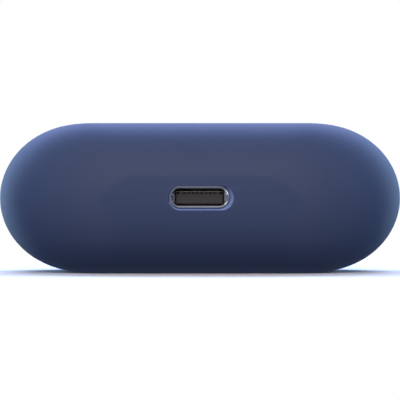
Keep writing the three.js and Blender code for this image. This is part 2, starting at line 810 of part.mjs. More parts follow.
// Flat lead from the battery's tab up and over the edge of the board.
function batteryLead() {

	const { halfWidth, near, thickness, low, tab } = BATTERY_LEAD;
	const [ far, top ] = [ near + thickness, ON_BOARD + thickness ];
	const rise = box( [ - halfWidth, near, low ], [ halfWidth, far, top ] );
	return join( rise, box( [ - halfWidth, near - tab, ON_BOARD ], [ halfWidth, far, top ] ) );

}

// Setup button: cap, flange and stem in one.
function setupButton() {

	const { cap, flange, flangeTop, flangeLow, stem, sunk, easing, foot } = BUTTON;
	const top = THICKNESS - sunk;
	const profile = [
		[ stem, foot ],
		[ stem, flangeLow ],
		[ flange, flangeLow ],
		[ flange, flangeTop ],
		[ cap, flangeTop ],
		[ cap, top - easing ],
		[ cap - easing, top ]
	];
	return alongZ( turned( profile, 24 ) ).translate( 0, BUTTON_Y, 0 );

}

function buttonSwitch() {

	const { halfWidth, body, dome, easing, top } = BUTTON_SWITCH;
	const low = BUTTON_BOARD.top + HAIR;
	const base = box( [ - halfWidth, - halfWidth, low ], [ halfWidth, halfWidth, low + body ] );
	const profile = [ [ dome, low + body / 2 ], [ dome, top - easing ], [ dome - easing, top ] ];
	const stud = alongZ( turned( profile, 16 ) );
	return join( base, stud ).translate( [ 0, BUTTON_Y, 0 ] );

}

function lightPipe() {

	const { radius, flange, sunk, flangeLow, top } = LIGHT;
	const profile = [ [ radius, sunk ], [ radius, flangeLow ], [ flange, flangeLow ], [ flange, top ] ];
	return alongZ( turned( profile ) ).translate( 0, LIGHT_Y, 0 );

}

// Sprung contacts in the wells: the block they sit in, the plungers and their springs.

function contactBlock( sign ) {

	const { width, height, top, depth, bore, floor } = BLOCK;
	const x = sign * WELL_X;
	const block = box(
		[ x - width / 2, top - depth, WELL_Z - height / 2 ],
		[ x + width / 2, top, WELL_Z + height / 2 ]
	);
	const bores = [ - 1, 1 ].map( ( way ) => {

		const hole = new THREE.CylinderGeometry( bore, bore, depth, 16 );
		return hole.translate( x + way * PLUNGER_SPREAD, top - depth / 2 + floor, WELL_Z );

	} );
	return cut( solid( block ), ...bores );

}

const FLANGE_TOP = WELL_FLOOR_Y - WELL.wall - PLUNGER.gap;
const FLANGE_LOW = FLANGE_TOP - PLUNGER.flangeHeight;

function plunger( x ) {

	const { tip, rise, flange, easing } = PLUNGER;
	const top = WELL_FLOOR_Y + rise;
	const profile = [
		[ flange, FLANGE_LOW ],
		[ flange, FLANGE_TOP ],
		[ tip, FLANGE_TOP ],
		[ tip, top - easing ],
		[ tip - easing, top ]
	];
	return turned( profile, 12 ).translate( x, 0, WELL_Z );

}

// Little coil springs.

function contactSpring( x ) {

	const { radius, wireRadius, turns, gap } = CONTACT_SPRING;
	const low = BLOCK.top - BLOCK.depth + BLOCK.floor + gap + wireRadius;
	const points = helix( radius, low, FLANGE_LOW - gap - wireRadius, turns, 7 );
	return wire( points, wireRadius, points.length, 4 ).translate( x, 0, WELL_Z );

}

function buttonSpring() {

	const { radius, wireRadius, turns, gap } = BUTTON_SPRING;
	const low = BUTTON_BOARD.top + gap + wireRadius;
	const points = helix( radius, low, BUTTON.flangeLow - gap - wireRadius, turns, 9 );
	return alongZ( wire( points, wireRadius, points.length, 4 ) ).translate( 0, BUTTON_Y, 0 );

}

// Disc or plate magnets.

function latchMagnet( sign, lowY ) {

	const { x, width, length, low, high } = LATCH_MAGNET;
	return box( [ sign * x - width / 2, lowY, low ], [ sign * x + width / 2, lowY + length, high ] );

}

function budMagnet( sign ) {

	const { z, radius, height, gap } = BUD_MAGNET;
	const disc = new THREE.CylinderGeometry( radius, radius, height, 24 );
	return disc.translate( sign * WELL_X, BLOCK.top - gap - height / 2, WELL_Z + z );

}

// Body of the case.

add( 'body_shell', bodyShell(), PLASTIC );
add( 'earbud_cradle', earbudCradle(), LINING );

add( 'port_shell', portShell(), STEEL );
add( 'port_insulator', portInsulator(), DARK );
add( 'port_contacts', portContacts(), GOLD );
add( 'port_gasket', portGasket(), RUBBER );
add( 'port_bracket', portBracket(), STEEL );
SIDES.forEach( ( { side, sign } ) => add( `board_screw_${ side }`, boardScrew( sign ), STEEL ) );

add( 'main_board', mainBoard(), LAMINATE );
Object.entries( CHIPS ).forEach( ( [ name, size ] ) => add( name, chip( size ), DARK ) );
add( 'power_inductor', chip( INDUCTOR ), MAGNET );
add( 'battery_cell', batteryCell(), POUCH );
add( 'battery_lead', batteryLead(), FLEX );
add( 'battery_foam', box(
	[ - BATTERY_FOAM.halfWidth, BATTERY_FOAM.near, BATTERY_FOAM.low ],
	[ BATTERY_FOAM.halfWidth, BATTERY_FOAM.far, BATTERY_FOAM.high ]
), RUBBER );

const coilLow = COIL.top - COIL.thickness;
const ferriteTop = coilLow - FERRITE.gap;
const coil = flatRing( COIL.inner, COIL.outer, coilLow, COIL.top, 30 );
const ferrite = flatRing( FERRITE.inner, FERRITE.outer, ferriteTop - FERRITE.thickness, ferriteTop, 30 );
add( 'charging_coil', coil.translate( 0, BUTTON_Y, 0 ), COPPER );
add( 'coil_ferrite', ferrite.translate( 0, BUTTON_Y, 0 ), DARK );

const { halfWidth: boardHalf, reach: boardReach, top: boardTop, thickness: boardThickness } = BUTTON_BOARD;
add( 'button_board', box(
	[ - boardHalf, BUTTON_Y - boardReach, boardTop - boardThickness ],
	[ boardHalf, BUTTON_Y + boardReach, boardTop ]
), LAMINATE );
add( 'button_switch', buttonSwitch(), STEEL );
add( 'button_spring', buttonSpring(), STEEL );

add( 'light_pipe', lightPipe(), CLEAR );
add( 'light_board', box(
	[ - LIGHT_BOARD.halfWidth, LIGHT_Y - LIGHT_BOARD.reach, LIGHT_BOARD.low ],
	[ LIGHT_BOARD.halfWidth, LIGHT_Y + LIGHT_BOARD.reach, LIGHT_BOARD.low + LIGHT_BOARD.thickness ]
), LAMINATE );
add( 'status_light', box(
	[ - STATUS_LIGHT.halfWidth, LIGHT_Y - STATUS_LIGHT.halfLength, STATUS_LIGHT.low ],
	[ STATUS_LIGHT.halfWidth, LIGHT_Y + STATUS_LIGHT.halfLength, LIGHT_BOARD.low - HAIR ]
), CLEAR );
add( 'lid_sensor', box(
	[ LID_SENSOR.left, LID_SENSOR.near, LID_SENSOR.low ],
	[ LID_SENSOR.right, LID_SENSOR.far, LIGHT_BOARD.low - HAIR ]
), DARK );

const latchY = DECK.low - LATCH_MAGNET.gap - LATCH_MAGNET.length;
SIDES.forEach( ( { side, sign } ) => {

	add( `contact_block_${ side }`, contactBlock( sign ), DARK );
	add( `bud_magnet_${ side }`, budMagnet( sign ), MAGNET );
	add( `latch_magnet_${ side }`, latchMagnet( sign, latchY ), MAGNET );

} );
const flexFar = BLOCK.top - BLOCK.depth - CONTACT_FLEX.gap;
add( 'contact_flex', box(
	[ - CONTACT_FLEX.halfWidth, flexFar - CONTACT_FLEX.thickness, WELL_Z - CONTACT_FLEX.halfHeight ],
	[ CONTACT_FLEX.halfWidth, flexFar, WELL_Z + CONTACT_FLEX.halfHeight ]
), FLEX );
contactPlaces().forEach( ( { name, x } ) => add( `contact_spring_${ name }`, contactSpring( x ), STEEL ) );
contactPlaces().forEach( ( { name, x } ) => add( `contact_plunger_${ name }`, plunger( x ), GOLD ) );

add( 'hinge_base', hingePlate( BASE_KNUCKLES, FIXED_BORE, - 1 ), STEEL );
add( 'hinge_pin', hingePin(), STEEL );
add( 'hinge_spring', hingeSpring(), STEEL );
SIDES.forEach( ( { side, sign } ) => add( `hinge_base_screw_${ side }`, hingeScrew( sign, - 1 ), STEEL ) );

// Button.

add( 'setup_button', setupButton(), PLASTIC );

// Lid.

add( 'lid_shell', lidShell(), PLASTIC );
add( 'lid_liner', lidLiner(), LINING );
add( 'hinge_leaf', hingePlate( LEAF_KNUCKLES, RUNNING_BORE, 1 ), STEEL );
SIDES.forEach( ( { side, sign } ) => {

	add( `hinge_leaf_screw_${ side }`, hingeScrew( sign, 1 ), STEEL );
	add( `lid_magnet_${ side }`, latchMagnet( sign, LINER.high + LATCH_MAGNET.gap ), MAGNET );

} );

export default group;
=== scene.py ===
"""Fine surfaces, finishes and a stage for a wireless earbuds charging case.

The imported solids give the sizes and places. Each operator makes one piece, or a group of like pieces,
of the finished case around them. Forms are worked out in millimetres and finished in metres.
The case lies on its front: +X is its width, +Y runs from the charging port to the lid's crown, and
+Z is up, from the front to the back.
"""

import json
import math
from types import SimpleNamespace

import bmesh
import bpy
from mathutils import Matrix, Vector


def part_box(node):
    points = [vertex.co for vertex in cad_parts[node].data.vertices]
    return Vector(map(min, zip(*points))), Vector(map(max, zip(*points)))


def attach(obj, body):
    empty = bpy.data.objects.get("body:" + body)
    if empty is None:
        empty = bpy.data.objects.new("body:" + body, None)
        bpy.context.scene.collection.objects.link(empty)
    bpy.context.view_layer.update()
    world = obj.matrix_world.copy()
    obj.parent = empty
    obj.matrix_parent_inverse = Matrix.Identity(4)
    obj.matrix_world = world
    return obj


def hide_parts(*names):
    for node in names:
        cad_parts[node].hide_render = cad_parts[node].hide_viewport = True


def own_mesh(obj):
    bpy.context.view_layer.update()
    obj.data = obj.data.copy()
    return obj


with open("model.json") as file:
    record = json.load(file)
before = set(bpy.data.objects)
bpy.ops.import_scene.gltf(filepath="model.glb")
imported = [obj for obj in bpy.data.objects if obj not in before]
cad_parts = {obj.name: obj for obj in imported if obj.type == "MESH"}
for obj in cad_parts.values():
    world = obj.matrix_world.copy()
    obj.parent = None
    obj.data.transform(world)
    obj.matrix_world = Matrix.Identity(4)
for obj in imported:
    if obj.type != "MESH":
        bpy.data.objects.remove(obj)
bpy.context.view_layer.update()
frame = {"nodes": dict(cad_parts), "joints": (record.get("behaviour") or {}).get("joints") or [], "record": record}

bl_info = {
    "name": "Earbuds Case",
    "version": (1, 0, 0),
    "blender": (4, 5, 0),
    "location": "3D View > Sidebar > Earbuds Case",
    "description": "Builds the pieces, finishes and stage of a wireless earbuds charging case",
    "category": "Object",
}

MM = 0.001

# How far each pressed piece travels, in metres, and a margin over that travel for its spring.
JOINTS = frame["record"]["behaviour"]["joints"]
TRAVELS = {joint["name"]: joint["range_m"][1] for joint in JOINTS if "range_m" in joint}
PRESS_MARGIN = 1.02


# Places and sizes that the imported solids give, in millimetres.


def box_mm(node):
    """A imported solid's lowest and highest corners."""
    low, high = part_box(node)
    return low / MM, high / MM


def middle_mm(node):
    """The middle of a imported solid's box."""
    low, high = box_mm(node)
    return (low + high) / 2


BODY_HIGH = box_mm("body_shell")[1]
LID_LOW, LID_HIGH = box_mm("lid_shell")
HALF_WIDTH = BODY_HIGH.x
HALF_HEIGHT = LID_HIGH.y
THICKNESS = BODY_HIGH.z
HALF_THICKNESS = MIDDLE_Z = THICKNESS / 2
BODY_TOP_Y = BODY_HIGH.y
LID_FOOT_Y = LID_LOW.y

LID_HINGE = next(joint for joint in frame["joints"] if joint["name"] == "lid_hinge")
SEAM_Y = LID_HINGE["pos_m"][1] / MM
HINGE_Z = LID_HINGE["pos_m"][2] / MM
GROOVE_CLEARANCE_DEG = 2
GROOVE_HALF_ANGLE = math.radians(LID_HINGE["range_deg"][1] / 2 + GROOVE_CLEARANCE_DEG)

CRADLE_TOP_Y = box_mm("earbud_cradle")[1].y
LINER_FACE_Y = box_mm("lid_liner")[0].y
PORT_LOW, PORT_HIGH = box_mm("port_shell")
PORT_MIDDLE = (PORT_LOW + PORT_HIGH) / 2
PORT_FACE_Y = PORT_LOW.y
INSULATOR_LOW, INSULATOR_HIGH = box_mm("port_insulator")
BUTTON_LOW, BUTTON_HIGH = box_mm("setup_button")
BUTTON_MIDDLE = (BUTTON_LOW + BUTTON_HIGH) / 2
LIGHT_LOW, LIGHT_HIGH = box_mm("light_pipe")
LIGHT_MIDDLE = (LIGHT_LOW + LIGHT_HIGH) / 2
SIDES = {"left": -1, "right": 1}
PLUNGERS = [f"{side}_{place}" for side in SIDES for place in ("outer", "inner")]
WELL_MIDDLE = (middle_mm("contact_plunger_right_outer") + middle_mm("contact_plunger_right_inner")) / 2


# Sizes and colours that a user would change.


def length(name, millimetres, description):
    """A size, shown in the scene's own unit of length."""
    return bpy.props.FloatProperty(
        name=name, description=description, default=millimetres * MM, min=0.0, precision=5, unit="LENGTH"
    )


def plain_number(name, default, description):
    """A ratio or an exponent."""
    return bpy.props.FloatProperty(name=name, description=description, default=default, min=0.0)


def whole_number(name, default, description):
    """A count."""
    return bpy.props.IntProperty(name=name, description=description, default=default, min=2)


def tint(name, default, description):
    """A colour in linear light."""
    return bpy.props.FloatVectorProperty(
        name=name, description=description, default=default, size=3, min=0.0, max=1.0, subtype="COLOR"
    )


class CaseSizes(bpy.types.PropertyGroup):
    """Sizes of the case's forms"""

    corner_radius: length("Corner radius", 20.0, "Radius of the outline's corners, seen from the front")
    crown_length: length("Crown length", 13.0, "How far each end takes to round off to nothing")
    crown_power: plain_number("Crown power", 2.25, "Squareness of each end's profile; 2 is an ellipse")
    end_ratio: plain_number("End ratio", 1.12, "Depth of a side's half ellipse over its half height")
    wall: length("Wall", 1.5, "Thickness of the casings")
    fit_gap: length("Fit gap", 0.2, "Gap round an insert in its casing")
    rim_rounding: length("Rim rounding", 0.28, "Rounding of the casings' outer rims at the seam")
    rim_easing: length("Rim easing", 0.12, "Rounding of the casings' inner rims")
    groove_rounding: length("Groove rounding", 0.3, "Rounding of the fold groove's outer edges")
    window_half_width: length("Hinge window half width", 8.2, "Half width of the window over the hinge")
    window_reach: length("Hinge window reach", 1.25, "How far the window reaches each side of the seam")
    port_hole_width: length("Port hole width", 9.6, "Width of the port's hole in the casing")
    port_hole_height: length("Port hole height", 3.66, "Height of the port's hole in the casing")
    port_hole_x: length("Port hole offset", 0.12, "How far the hole sits to the right of the middle")
    port_hole_drop: length("Port hole drop", 0.02, "How far the hole sits under the case's middle")
    port_hole_taper: length("Port hole taper", 0.34, "Depth of the bevel from the hole's edge")
    port_gap: length("Port gap", 0.06, "Gap round the port's shell in its hole")
    port_mouth_width: length("Port mouth width", 8.3, "Width of the port's mouth inside its metal lip")
    port_flare: plain_number("Port flare", 0.8, "How far the lip turns inward, in radians")
    port_throat_width: length("Port throat width", 7.15, "Width of the port's opening behind the funnel")
    port_throat_height: length("Port throat height", 2.36, "Height of the port's opening")
    port_throat_corner: length("Port throat corner", 0.45, "Corner radius of the port's opening")
    port_funnel: length("Port funnel", 0.5, "Depth of the funnel that leads a plug in")
    well_rx: length("Well half width", 9.8, "Half width of an earbud well")
    well_rz: length("Well half height", 7.4, "Half height of an earbud well")
    well_depth: length("Well depth", 12.0, "Depth of an earbud well under the deck")
    pocket_x: length("Pocket offset across", 6.2, "How far a nozzle pocket sits inward of its well")
    pocket_z: length("Pocket offset down", 2.6, "How far a nozzle pocket sits toward the front")
    pocket_rx: length("Pocket half width", 4.4, "Half width of a nozzle pocket")
    pocket_rz: length("Pocket half height", 4.0, "Half height of a nozzle pocket")
    pocket_depth: length("Pocket depth", 9.5, "Depth of a nozzle pocket")
    recess_rx: length("Lid recess half width", 8.8, "Half width of a recess in the lid's liner")
    recess_rz: length("Lid recess half height", 6.6, "Half height of a recess in the lid's liner")
    recess_depth: length("Lid recess depth", 8.5, "Depth of a recess in the lid's liner")
    bowl_wall: length("Bowl wall", 1.0, "Thickness of the wells' and recesses' walls")
    bowl_power: plain_number("Bowl power", 2.6, "Squareness of a bowl's profile; 2 is an ellipse")
    bowl_rounding: length("Bowl rounding", 0.45, "Rounding of a bowl's mouth")
    deck_thickness: length("Deck thickness", 1.0, "Thickness of the cradle's and the liner's decks")
    contact_hole_radius: length("Contact hole radius", 0.56, "Radius of the holes for the sprung contacts")
    notch_half_width: length("Hinge notch half width", 8.6, "Half width of the notches for the hinge")
    notch_z: length("Hinge notch height", 20.0, "Height over the front at which the notches begin")
    port_lip_rounding: length("Port lip rounding", 0.05, "Rounding of the metal shell's lip")
    insulator_half_width: length("Insulator half width", 3.45, "Half width of the port's insulator")
    insulator_drop: length("Insulator drop", 1.0, "How far the insulator reaches under the port's middle")
    insulator_rise: length("Insulator rise", 0.88, "How far the insulator reaches over the port's middle")
    insulator_rounding: length("Insulator rounding", 0.07, "Rounding of the insulator's edges")
    insulator_lip: length("Insulator lip", 0.13, "Thickness of the lip over the contacts' channels")
    insulator_flange: length("Insulator flange", 0.6, "Thickness of the flange at the insulator's back")
    channel_width: length("Channel width", 0.32, "Width of a contact's channel")
    channel_height: length("Channel height", 0.3, "Height of a contact's channel")
    contact_pitch: length("Contact pitch", 0.63, "Distance from one contact to the next")
    contact_count: whole_number("Contacts", 8, "How many contacts the port has")
    key_notch_x: length("Key notch offset", 3.15, "How far the end notches are from the port's middle")
    hinge_half_width: length("Hinge half width", 7.8, "Half width of the hinge")
    hinge_outer_knuckle: length("Outer knuckle length", 2.4, "Length of each knuckle on the body's plate")
    hinge_inner_knuckle: length("Inner knuckle length", 2.6, "Length of each knuckle on the lid's plate")
    hinge_plate_near: length("Hinge plate offset", 1.4, "Where the plates begin, from the hinge's axis")
    hinge_plate_thickness: length("Hinge plate thickness", 0.4, "Thickness of the hinge's plates")
    knuckle_radius: length("Knuckle radius", 0.95, "Outer radius of the hinge's knuckles")
    hinge_spring_half: length("Hinge spring half length", 2.1, "Half length of the hinge's spring")
    hinge_spring_radius: length("Hinge spring radius", 0.68, "Radius of the hinge's spring")
    hinge_spring_wire: length("Hinge spring wire", 0.12, "Radius of the spring's wire")
    hinge_spring_leg: length("Hinge spring leg", 1.2, "Length of the spring's legs")
    hinge_spring_turns: plain_number("Hinge spring turns", 5.25, "Turns of the hinge's spring")
    button_radius: length("Button radius", 2.5, "Radius of the setup button")
    button_flange_gap: length("Button flange gap", 0.15, "Gap between the button's flange and the back wall")
    button_spring_wire: length("Button spring wire", 0.12, "Radius of the button spring's wire")
    button_hole_radius: length("Button hole radius", 2.7, "Radius of the setup button's hole")
    light_pipe_radius: length("Light pipe radius", 0.75, "Radius of the status light's pipe")
    plunger_tip_radius: length("Plunger tip radius", 0.42, "Radius of a sprung contact's tip")
    plunger_flange_height: length("Plunger flange height", 0.35, "Height of a sprung contact's flange")
    contact_spring_wire: length("Contact spring wire", 0.09, "Radius of the contact springs' wire")
    coil_turns: whole_number("Coil turns", 9, "Turns of the charging coil")
    ferrite_inner: length("Ferrite inner radius", 4.1, "Radius of the hole in the coil's ferrite")
    light_hole_radius: length("Light hole radius", 0.85, "Radius of the status light's hole")


class CaseColours(bpy.types.PropertyGroup):
    """Colours of the case's materials"""

    case: tint("Case", (0.044, 0.066, 0.137), "Soft-touch plastic of the casings")
    lining: tint("Lining", (0.030, 0.043, 0.098), "Satin plastic of the cradle and the liner")
    dark: tint("Dark plastic", (0.046, 0.045, 0.043), "Port insulator, blocks and chips")
    rubber: tint("Rubber", (0.012, 0.013, 0.015), "Gasket and foam")
    steel: tint("Steel", (0.46, 0.46, 0.47), "Hinge, bracket, springs and screws")
    port_steel: tint("Port steel", (0.80, 0.79, 0.77), "The port's metal shell")
    gold: tint("Gold", (0.72, 0.47, 0.18), "Plating of the contacts")
    copper: tint("Copper", (0.50, 0.17, 0.06), "Enamelled winding wire")
    magnet: tint("Magnet", (0.52, 0.52, 0.54), "Nickel plating of the magnets")
    board: tint("Board", (0.010, 0.060, 0.030), "Solder mask of the boards")
    film: tint("Film", (0.40, 0.17, 0.03), "Amber film of the flat leads")
    foil: tint("Foil", (0.42, 0.43, 0.45), "Laminate foil of the battery")
    clear: tint("Clear plastic", (0.80, 0.83, 0.86), "Light pipe and lamp")


def sizes():
    """Every size in millimetres, and the ratios as they are."""
    group = bpy.context.scene.case_sizes
    plain = {"crown_power", "end_ratio", "bowl_power", "port_flare"}
    plain |= {"contact_count", "hinge_spring_turns", "coil_turns"}
    values = {name: getattr(group, name) for name in CaseSizes.__annotations__}
    return SimpleNamespace(**{n: value if n in plain else value / MM for n, value in values.items()})


def colour_of(name):
    """A colour that a user may have changed."""
    return tuple(getattr(bpy.context.scene.case_colours, name))


# Shader maths.


class Number:
    """A number on its way through a shader, so that shader maths reads as ordinary maths."""

    def __init__(self, shader, socket):
        self.shader = shader
        self.socket = socket

    def __add__(self, other):
        return self.shader.maths("ADD", self, other)

    def __sub__(self, other):
        return self.shader.maths("SUBTRACT", self, other)

    def __rsub__(self, other):
        return self.shader.maths("SUBTRACT", other, self)

    def __mul__(self, other):
        return self.shader.maths("MULTIPLY", self, other)

    def __truediv__(self, other):
        return self.shader.maths("DIVIDE", self, other)

    def __pow__(self, other):
        return self.shader.maths("POWER", self, other)

    __radd__ = __add__
    __rmul__ = __mul__


class Shader:
    """A node tree, and the few ways in which this file adds nodes to it."""

    def __init__(self, tree):
        self.tree = tree
        self.tree.nodes.clear()

    @staticmethod
    def socket(sockets, key):
        """A socket by its place, its identifier or its name."""
        if isinstance(key, int):
            return sockets[key]
        by_identifier = [s for s in sockets if s.identifier == key]
        return by_identifier[0] if by_identifier else sockets[key]

    def node(self, kind, settings=None, inputs=None):
        """A node with its settings set first, then its sockets' values or links."""
        made = self.tree.nodes.new(kind)
        for name, value in (settings or {}).items():
            setattr(made, name, value)
        for key, value in (inputs or {}).items():
            target = self.socket(made.inputs, key)
            if isinstance(value, Number):
                self.tree.links.new(value.socket, target)
            elif isinstance(value, bpy.types.NodeSocket):
                self.tree.links.new(value, target)
            else:
                target.default_value = value
        return made

    def maths(self, operation, first, second):
        """The result of one Math node."""
        made = self.node("ShaderNodeMath", {"operation": operation}, {0: first, 1: second})
        return Number(self, made.outputs[0])

    def smooth(self, value, low, high):
        """0 below low, 1 above high, and an even change between."""
        made = self.node(
            "ShaderNodeMapRange",
            {"interpolation_type": "SMOOTHSTEP"},
            {"Value": value, "From Min": low, "From Max": high},
        )
        return Number(self, made.outputs["Result"])

    def mix(self, factor, first, second):
        """Two colours mixed."""
        made = self.node(
            "ShaderNodeMix",
            {"data_type": "RGBA"},
            {"Factor_Float": factor, "A_Color": rgba(first), "B_Color": rgba(second)},
        )
        return self.socket(made.outputs, "Result_Color")

    def place(self, size, stretch=(1.0, 1.0, 1.0)):
        """The place on the object, counted in cells of that size in millimetres."""
        coordinates = self.node("ShaderNodeTexCoord").outputs["Object"]
        scale = [part / (size * MM) for part in stretch]
        made = self.node("ShaderNodeVectorMath", {"operation": "MULTIPLY"}, {0: coordinates, 1: scale})
        return made.outputs[0]

    def noise(self, size, detail=2.0, stretch=(1.0, 1.0, 1.0)):
        """Smooth noise from 0 to 1, in cells of that size in millimetres."""
        where = self.place(size, stretch)
        made = self.node("ShaderNodeTexNoise", None, {"Vector": where, "Scale": 1.0, "Detail": detail})
        return Number(self, made.outputs[0])

    def cells(self, size, stretch=(1.0, 1.0, 1.0)):
        """Distance from the nearest of scattered points, in cells of that size in millimetres."""
        where = self.place(size, stretch)
        made = self.node("ShaderNodeTexVoronoi", None, {"Vector": where, "Scale": 1.0})
        return Number(self, made.outputs["Distance"])

    def along(self, axis):
        """The place along one axis, in millimetres."""
        made = self.node("ShaderNodeSeparateXYZ", None, {0: self.place(1.0)})
        return Number(self, made.outputs[axis])

    def edges(self, low=0.51, high=0.58):
        """1 on edges that stand out, where hands and pockets rub; the dark plastic also uses it for a painted edge
        highlight.
        """
        made = self.node("ShaderNodeNewGeometry")
        return self.smooth(Number(self, made.outputs["Pointiness"]), low, high)

    def surface(self, colour, roughness, height=None, relief=0.001, metallic=0.0, **constants):
        """The surface's shader. Height is from 0 to 1, and relief is its depth in millimetres."""
        inputs = {"Base Color": rgba(colour), "Roughness": roughness, "Metallic": metallic}
        inputs.update({key.replace("_", " "): value for key, value in constants.items()})
        if height is not None:
            depth = {"Height": height, "Strength": 1.0, "Distance": relief * MM}
            bump = self.node("ShaderNodeBump", None, depth)
            inputs["Normal"] = bump.outputs[0]
        made = self.node("ShaderNodeBsdfPrincipled", None, inputs)
        self.node("ShaderNodeOutputMaterial", None, {"Surface": made.outputs[0]})
        return made


def rgba(colour):
    """A colour with its fourth part, or a link as it is."""
    return (*colour, 1.0) if isinstance(colour, (tuple, list)) else colour


def shade(colour, factor):
    """A colour made lighter or darker."""
    return tuple(min(1.0, part * factor) for part in colour)


# Finishes, each for one material slot of the record.

BROWN_MARKS = (0.13, 0.095, 0.07)
# A painted highlight along the port insulator's upper lip.
PAINTED_LIP_HIGHLIGHT = (0.34, 0.31, 0.25)
WORN_GOLD = (0.75, 0.66, 0.5)
TRACKS_UNDER_FILM = (0.55, 0.26, 0.09)


def painted_mouth_highlight(shader):
    """1 on the bevel of the port's hole, which carries a painted highlight, and 0 elsewhere."""
    size = sizes()
    radius = size.port_hole_height / 2
    straight = size.port_hole_width / 2 - radius
    from_middle = shader.maths("ABSOLUTE", shader.along("X") - size.port_hole_x, 0.0)
    across = shader.maths("MAXIMUM", from_middle - straight, 0.0)
    up = shader.along("Z") - (MIDDLE_Z - size.port_hole_drop)
    distance = (across * across + up * up) ** 0.5
    inside = 1.0 - shader.smooth(distance, radius - 0.05, radius + 0.05)
    return inside * near_port(shader, 2)


def near_port(shader, depth):
    """1 in the lower tip of the body, where the port is, and 0 deeper in than depth millimetres."""
    return shader.smooth(0.0 - shader.along("Y"), HALF_HEIGHT - depth, HALF_HEIGHT - depth + 1)


def soft_touch(shader):
    """Soft-touch satin plastic: a fine even grain, faint handling marks, polished edges and a painted highlight on
    the port hole's bevel.
    """
    case = colour_of("case")
    mottle = shader.noise(6.0, 3.0)
    grain = shader.noise(0.16, 2.0)
    marks = shader.smooth(shader.noise(1.4, 4.0, (1.0, 5.0, 1.0)), 0.62, 0.75)
    edge_mask = shader.edges()
    recoloured = painted_mouth_highlight(shader)
    base = shader.mix(mottle, shade(case, 0.97), shade(case, 1.03))
    base = shader.mix(edge_mask * 0.35, base, shade(case, 1.35))
    # painted highlight: the port hole's bevel made 3.6 times lighter, for the light it catches
    base = shader.mix(recoloured, base, shade(case, 3.6))
    roughness = 0.70 + (mottle - 0.5) * 0.05 + (grain - 0.5) * 0.06 - marks * 0.03 - edge_mask * 0.08 - recoloured * 0.1
    shader.surface(
        base,
        roughness,
        grain,
        relief=0.0015,
        Specular_IOR_Level=0.5,
    )


def satin_lining(shader):
    """Satin moulded plastic of the inside, a little glossier, with faint flow marks."""
    lining = colour_of("lining")
    flow = shader.noise(5.0, 3.0, (1.0, 2.5, 1.0))
    grain = shader.noise(0.2, 1.0)
    edge_mask = shader.edges()
    base = shader.mix(flow, shade(lining, 0.93), shade(lining, 1.07))
    base = shader.mix(edge_mask * 0.3, base, shade(lining, 1.5))
    roughness = 0.27 + flow * 0.08 + (grain - 0.5) * 0.05 - edge_mask * 0.05
    shader.surface(base, roughness, grain, relief=0.0008, Specular_IOR_Level=0.5)


def dark_moulding(shader):
    """Glass-filled black plastic with a fine sparked grain, edges lightened partly by wear and partly as a painted
    highlight, and a painted highlight along the upper lip in the port.
    """
    dark = colour_of("dark")
    grain = shader.noise(0.09, 2.0)
    cloud = shader.noise(0.9, 3.0)
    edge_mask = shader.edges()
    base = shader.mix(cloud, shade(dark, 0.8), shade(dark, 1.2))
    # edges up to three times lighter: partly wear, partly a painted highlight where edges catch light
    base = shader.mix(edge_mask * 0.6, base, shade(dark, 3.0))
    size = sizes()
    in_port = near_port(shader, 4)
    top = PORT_MIDDLE.z + size.insulator_rise
    lip = in_port * shader.smooth(shader.along("Z"), top - size.insulator_lip, top - size.insulator_lip / 2)
    base = shader.mix(in_port, base, shade(dark, 1.05))
    # painted highlight: a pale line along the insulator's upper front edge, for the light it catches
    base = shader.mix(lip, base, PAINTED_LIP_HIGHLIGHT)
    roughness = 0.42 + (grain - 0.5) * 0.2 + cloud * 0.08 - edge_mask * 0.08
    shader.surface(base, roughness, grain, relief=0.002, Specular_IOR_Level=0.5)


def soft_rubber(shader):
    """Matte rubber or foam, with small pores."""
    rubber = colour_of("rubber")
    pores = shader.smooth(shader.cells(0.12), 0.15, 0.45)
    cloud = shader.noise(1.5, 3.0)
    base = shader.mix(cloud, shade(rubber, 0.8), shade(rubber, 1.4))
    shader.surface(base, 0.75 + cloud * 0.15, pores, relief=0.01, Specular_IOR_Level=0.3)


def blasted_steel(shader):
    """Stamped and tumbled steel: a fine blasted grain, faint scratches and brighter edges."""
    steel = colour_of("steel")
    grain = shader.noise(0.07, 2.0)
    scratches = shader.smooth(shader.noise(0.5, 4.0, (6.0, 0.6, 6.0)), 0.6, 0.72)
    edge_mask = shader.edges()
    base = shader.mix(grain, shade(steel, 0.88), shade(steel, 1.05))
    base = shader.mix(edge_mask * 0.6, base, shade(steel, 1.45))
    roughness = 0.30 + (grain - 0.5) * 0.16 + scratches * 0.08 - edge_mask * 0.1
    shader.surface(base, roughness, grain, relief=0.0015, metallic=1.0)


def port_steel(shader):
    """Bright drawn steel, polished at the mouth and marked inside, most at its left end."""
    steel = colour_of("port_steel")
    drawn = shader.noise(0.25, 4.0, (3.0, 0.25, 3.0))
    cloud = shader.noise(0.5, 2.0)
    recoloured = shader.smooth(shader.noise(0.34, 3.0), 0.44, 0.54)
    deep = shader.smooth(shader.along("Y"), PORT_FACE_Y + 0.04, PORT_FACE_Y + 0.12)
    # brown marks inside the shell, heavier towards its left end
    left_end_share = 0.15 + shader.smooth(0.0 - shader.along("X"), 2.0, 3.2) * 0.85
    marks = recoloured * deep * left_end_share
    tired = shader.mix(cloud, shade(steel, 0.86), shade(steel, 1.06))
    base = shader.mix(marks * 0.9, tired, BROWN_MARKS)
    roughness = 0.16 + drawn * 0.10 + marks * 0.15
    shader.surface(base, roughness, drawn, relief=0.003, metallic=1.0)


